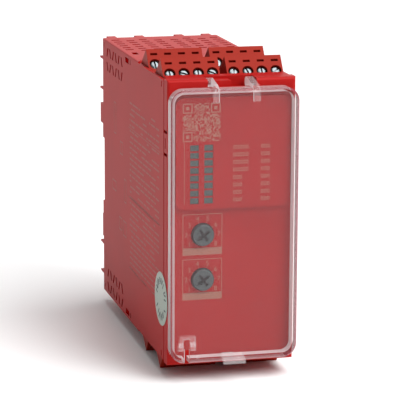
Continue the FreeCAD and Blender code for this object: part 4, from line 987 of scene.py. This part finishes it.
class RELAY_OT_label_marks(bpy.types.Operator):
    """Mark the round label with plain dark strokes along two arcs."""
    bl_idname = "relay.label_marks"
    bl_label = "Label marks"

    def execute(self, context):
        low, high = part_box("round_label")
        centre = (low + high) / 2
        film = context.scene.relay_print.film
        surface = low.x + film
        self.add_disc(surface, high.x, centre, (high.z - low.z) / 2, film)
        chance = random.Random(3)
        stamps = Stamps(film)
        for start, end in LABEL_ARCS:
            for angle in range(start, end, STROKE_STEP):
                tall, slant = chance.uniform(2.0, 3.0), chance.uniform(-0.35, 0.35)
                for shift in STROKE_SHIFTS[:chance.choice((1, 2, 2))]:
                    self.add_stroke(stamps, surface, centre, math.radians(angle), shift, tall, slant)
        stamps.finish("round_label_marks", "ink", "label_paper")
        return {"FINISHED"}

    def add_disc(self, outer, inner, centre, radius, edge):
        """The label itself, a smooth disc that leaves room for its marks."""
        bpy.ops.object.select_all(action="DESELECT")
        bpy.ops.mesh.primitive_cylinder_add(
            vertices=96, radius=radius, depth=inner - outer,
            location=((outer + inner) / 2, centre.y, centre.z), rotation=(0, math.pi / 2, 0))
        disc = settle(bpy.context.object)
        disc.name = "round_label_disc"
        apply_bevel(disc, edge)
        smooth(disc)
        fit(disc, "label", "housing", "round_label")

    def add_stroke(self, stamps, surface, centre, turn, shift, tall, slant):
        """One short stroke that stands on an arc of the label."""
        middle, half = shift * MM, tall * MM / 2
        piece = stamps.box(Vector((surface - stamps.film, middle - STROKE_HALF, -half)),
                           Vector((surface, middle + STROKE_HALF, half)))
        place = Matrix.Translation((0, centre.y, centre.z))
        around = Matrix.Rotation(turn - math.pi / 2, 4, "X")
        outward = Matrix.Translation((0, 0, STROKE_RADIUS))
        piece.data.transform(place @ around @ outward @ Matrix.Rotation(slant, 4, "X"))


# Places and sizes of the lamps and the floor in metres, and the spread of the sun in degrees.
MIDDLE = Vector((0, -0.06, 0))
KEY_PLACE = Vector((0.50, -0.95, 0.80))
KEY_SIZE = (0.6, 0.6)
BACK_PLACE = Vector((0.0, 1.6, 0.55))
BACK_SIZE = (1.8, 0.7)
SUN_WAY = Vector((-0.30, 0.22, -1))
SUN_SPREAD = 50.0
FLOOR_SIZE = 8.0
FLOOR_MIDDLE = 1.5
CAMERA_TARGET = at(-11.059, 0, 57.778)


def add_softbox(name, place, size, power):
    """An area light that faces the object and that the camera doesn't see."""
    light = bpy.data.lights.new(name, "AREA")
    light.shape = "RECTANGLE"
    light.size, light.size_y = size
    light.energy = power
    lamp = bpy.data.objects.new(name, light)
    lamp.location = place
    lamp.rotation_euler = (MIDDLE - place).to_track_quat("-Z", "Y").to_euler()
    lamp.visible_camera = False
    bpy.context.scene.collection.objects.link(lamp)


class RELAY_OT_stage(bpy.types.Operator):
    """Pale floor, soft lights and the camera."""
    bl_idname = "relay.stage"
    bl_label = "Stage"

    def execute(self, context):
        settings = context.scene.relay_studio
        self.add_floor()
        self.add_lights(settings)
        self.add_camera(settings)
        return {"FINISHED"}

    def add_floor(self):
        """A wide pale floor under the object."""
        bpy.ops.object.select_all(action="DESELECT")
        bpy.ops.mesh.primitive_plane_add(size=FLOOR_SIZE, location=(0, FLOOR_MIDDLE, CAD_BOX[0][2]))
        floor = bpy.context.object
        floor.name = "studio_floor"
        material, tree, shader = new_material("studio_floor", Roughness=0.9,
                                              Specular_IOR_Level=0.1)
        paper = noise(tree, object_space(tree), 3.0, 2.0)
        tree.links.new(shade_between(tree, paper, (0.90, 0.90, 0.90), (0.93, 0.93, 0.93)),
                       shader.inputs["Base Color"])
        floor.data.materials.append(material)
        settle(floor)

    def add_lights(self, settings):
        """Two softboxes, a broad light from above and even surroundings."""
        add_softbox("key_softbox", KEY_PLACE, KEY_SIZE, settings.key)
        add_softbox("back_softbox", BACK_PLACE, BACK_SIZE, settings.back)
        sun = bpy.data.lights.new("overhead_light", "SUN")
        sun.energy = settings.overhead
        sun.angle = math.radians(SUN_SPREAD)
        lamp = bpy.data.objects.new("overhead_light", sun)
        lamp.rotation_euler = SUN_WAY.to_track_quat("-Z", "Y").to_euler()
        bpy.context.scene.collection.objects.link(lamp)
        world = bpy.data.worlds.new("studio_surroundings")
        world.use_nodes = True
        background = world.node_tree.nodes["Background"]
        background.inputs["Color"].default_value = (1, 1, 1, 1)
        background.inputs["Strength"].default_value = settings.ambient
        bpy.context.scene.world = world

    def add_camera(self, settings):
        """A long lens that looks at the object from its own angle, with a slight roll."""
        azimuth, elevation, roll = settings.azimuth, settings.elevation, settings.roll
        back = Vector((math.sin(azimuth) * math.cos(elevation),
                       -math.cos(azimuth) * math.cos(elevation), math.sin(elevation)))
        right = (-back).cross(Vector((0, 0, 1))).normalized()
        up = right.cross(-back)
        turned = right * math.cos(roll) + up * math.sin(roll)
        lifted = -right * math.sin(roll) + up * math.cos(roll)
        camera = bpy.data.objects.new("studio_camera", bpy.data.cameras.new("studio_camera"))
        camera.data.lens = settings.lens
        camera.data.sensor_width = 36
        camera.data.clip_start = 0.01
        axes = Matrix((turned, lifted, back)).transposed().to_4x4()
        camera.matrix_world = Matrix.Translation(CAMERA_TARGET + back * settings.distance) @ axes
        bpy.context.scene.collection.objects.link(camera)
        bpy.context.scene.camera = camera
        bpy.context.scene.view_settings.view_transform = "Standard"


class RELAY_PT_looks(bpy.types.Panel):
    """Sidebar panel that lists the settings and the steps."""
    bl_label = "Safety Relay"
    bl_idname = "RELAY_PT_looks"
    bl_space_type = "VIEW_3D"
    bl_region_type = "UI"
    bl_category = "Safety Relay"

    def draw(self, context):
        for name, group in SETTINGS.items():
            box = self.layout.box()
            box.label(text=group.__doc__)
            for setting in group.__annotations__:
                box.prop(getattr(context.scene, name), setting)
        for step in STEPS:
            self.layout.operator(step.bl_idname)


STEPS = [RELAY_OT_stage, RELAY_OT_finishes, RELAY_OT_housing, RELAY_OT_plugs, RELAY_OT_screws,
         RELAY_OT_cover, RELAY_OT_selectors, RELAY_OT_dials, RELAY_OT_panel,
         RELAY_OT_side_print, RELAY_OT_label_marks]


def register():
    for group in SETTINGS.values():
        bpy.utils.register_class(group)
    for name, group in SETTINGS.items():
        setattr(bpy.types.Scene, name, bpy.props.PointerProperty(type=group))
    for step in STEPS + [RELAY_PT_looks]:
        bpy.utils.register_class(step)


def unregister():
    for step in reversed(STEPS + [RELAY_PT_looks]):
        bpy.utils.unregister_class(step)
    for name in SETTINGS:
        delattr(bpy.types.Scene, name)
    for group in reversed(list(SETTINGS.values())):
        bpy.utils.unregister_class(group)


def main():
    register()
    for step in STEPS:
        group, name = step.bl_idname.split(".")
        getattr(getattr(bpy.ops, group), name)()
    bpy.context.view_layer.update()


if __name__ == "__main__":
    main()
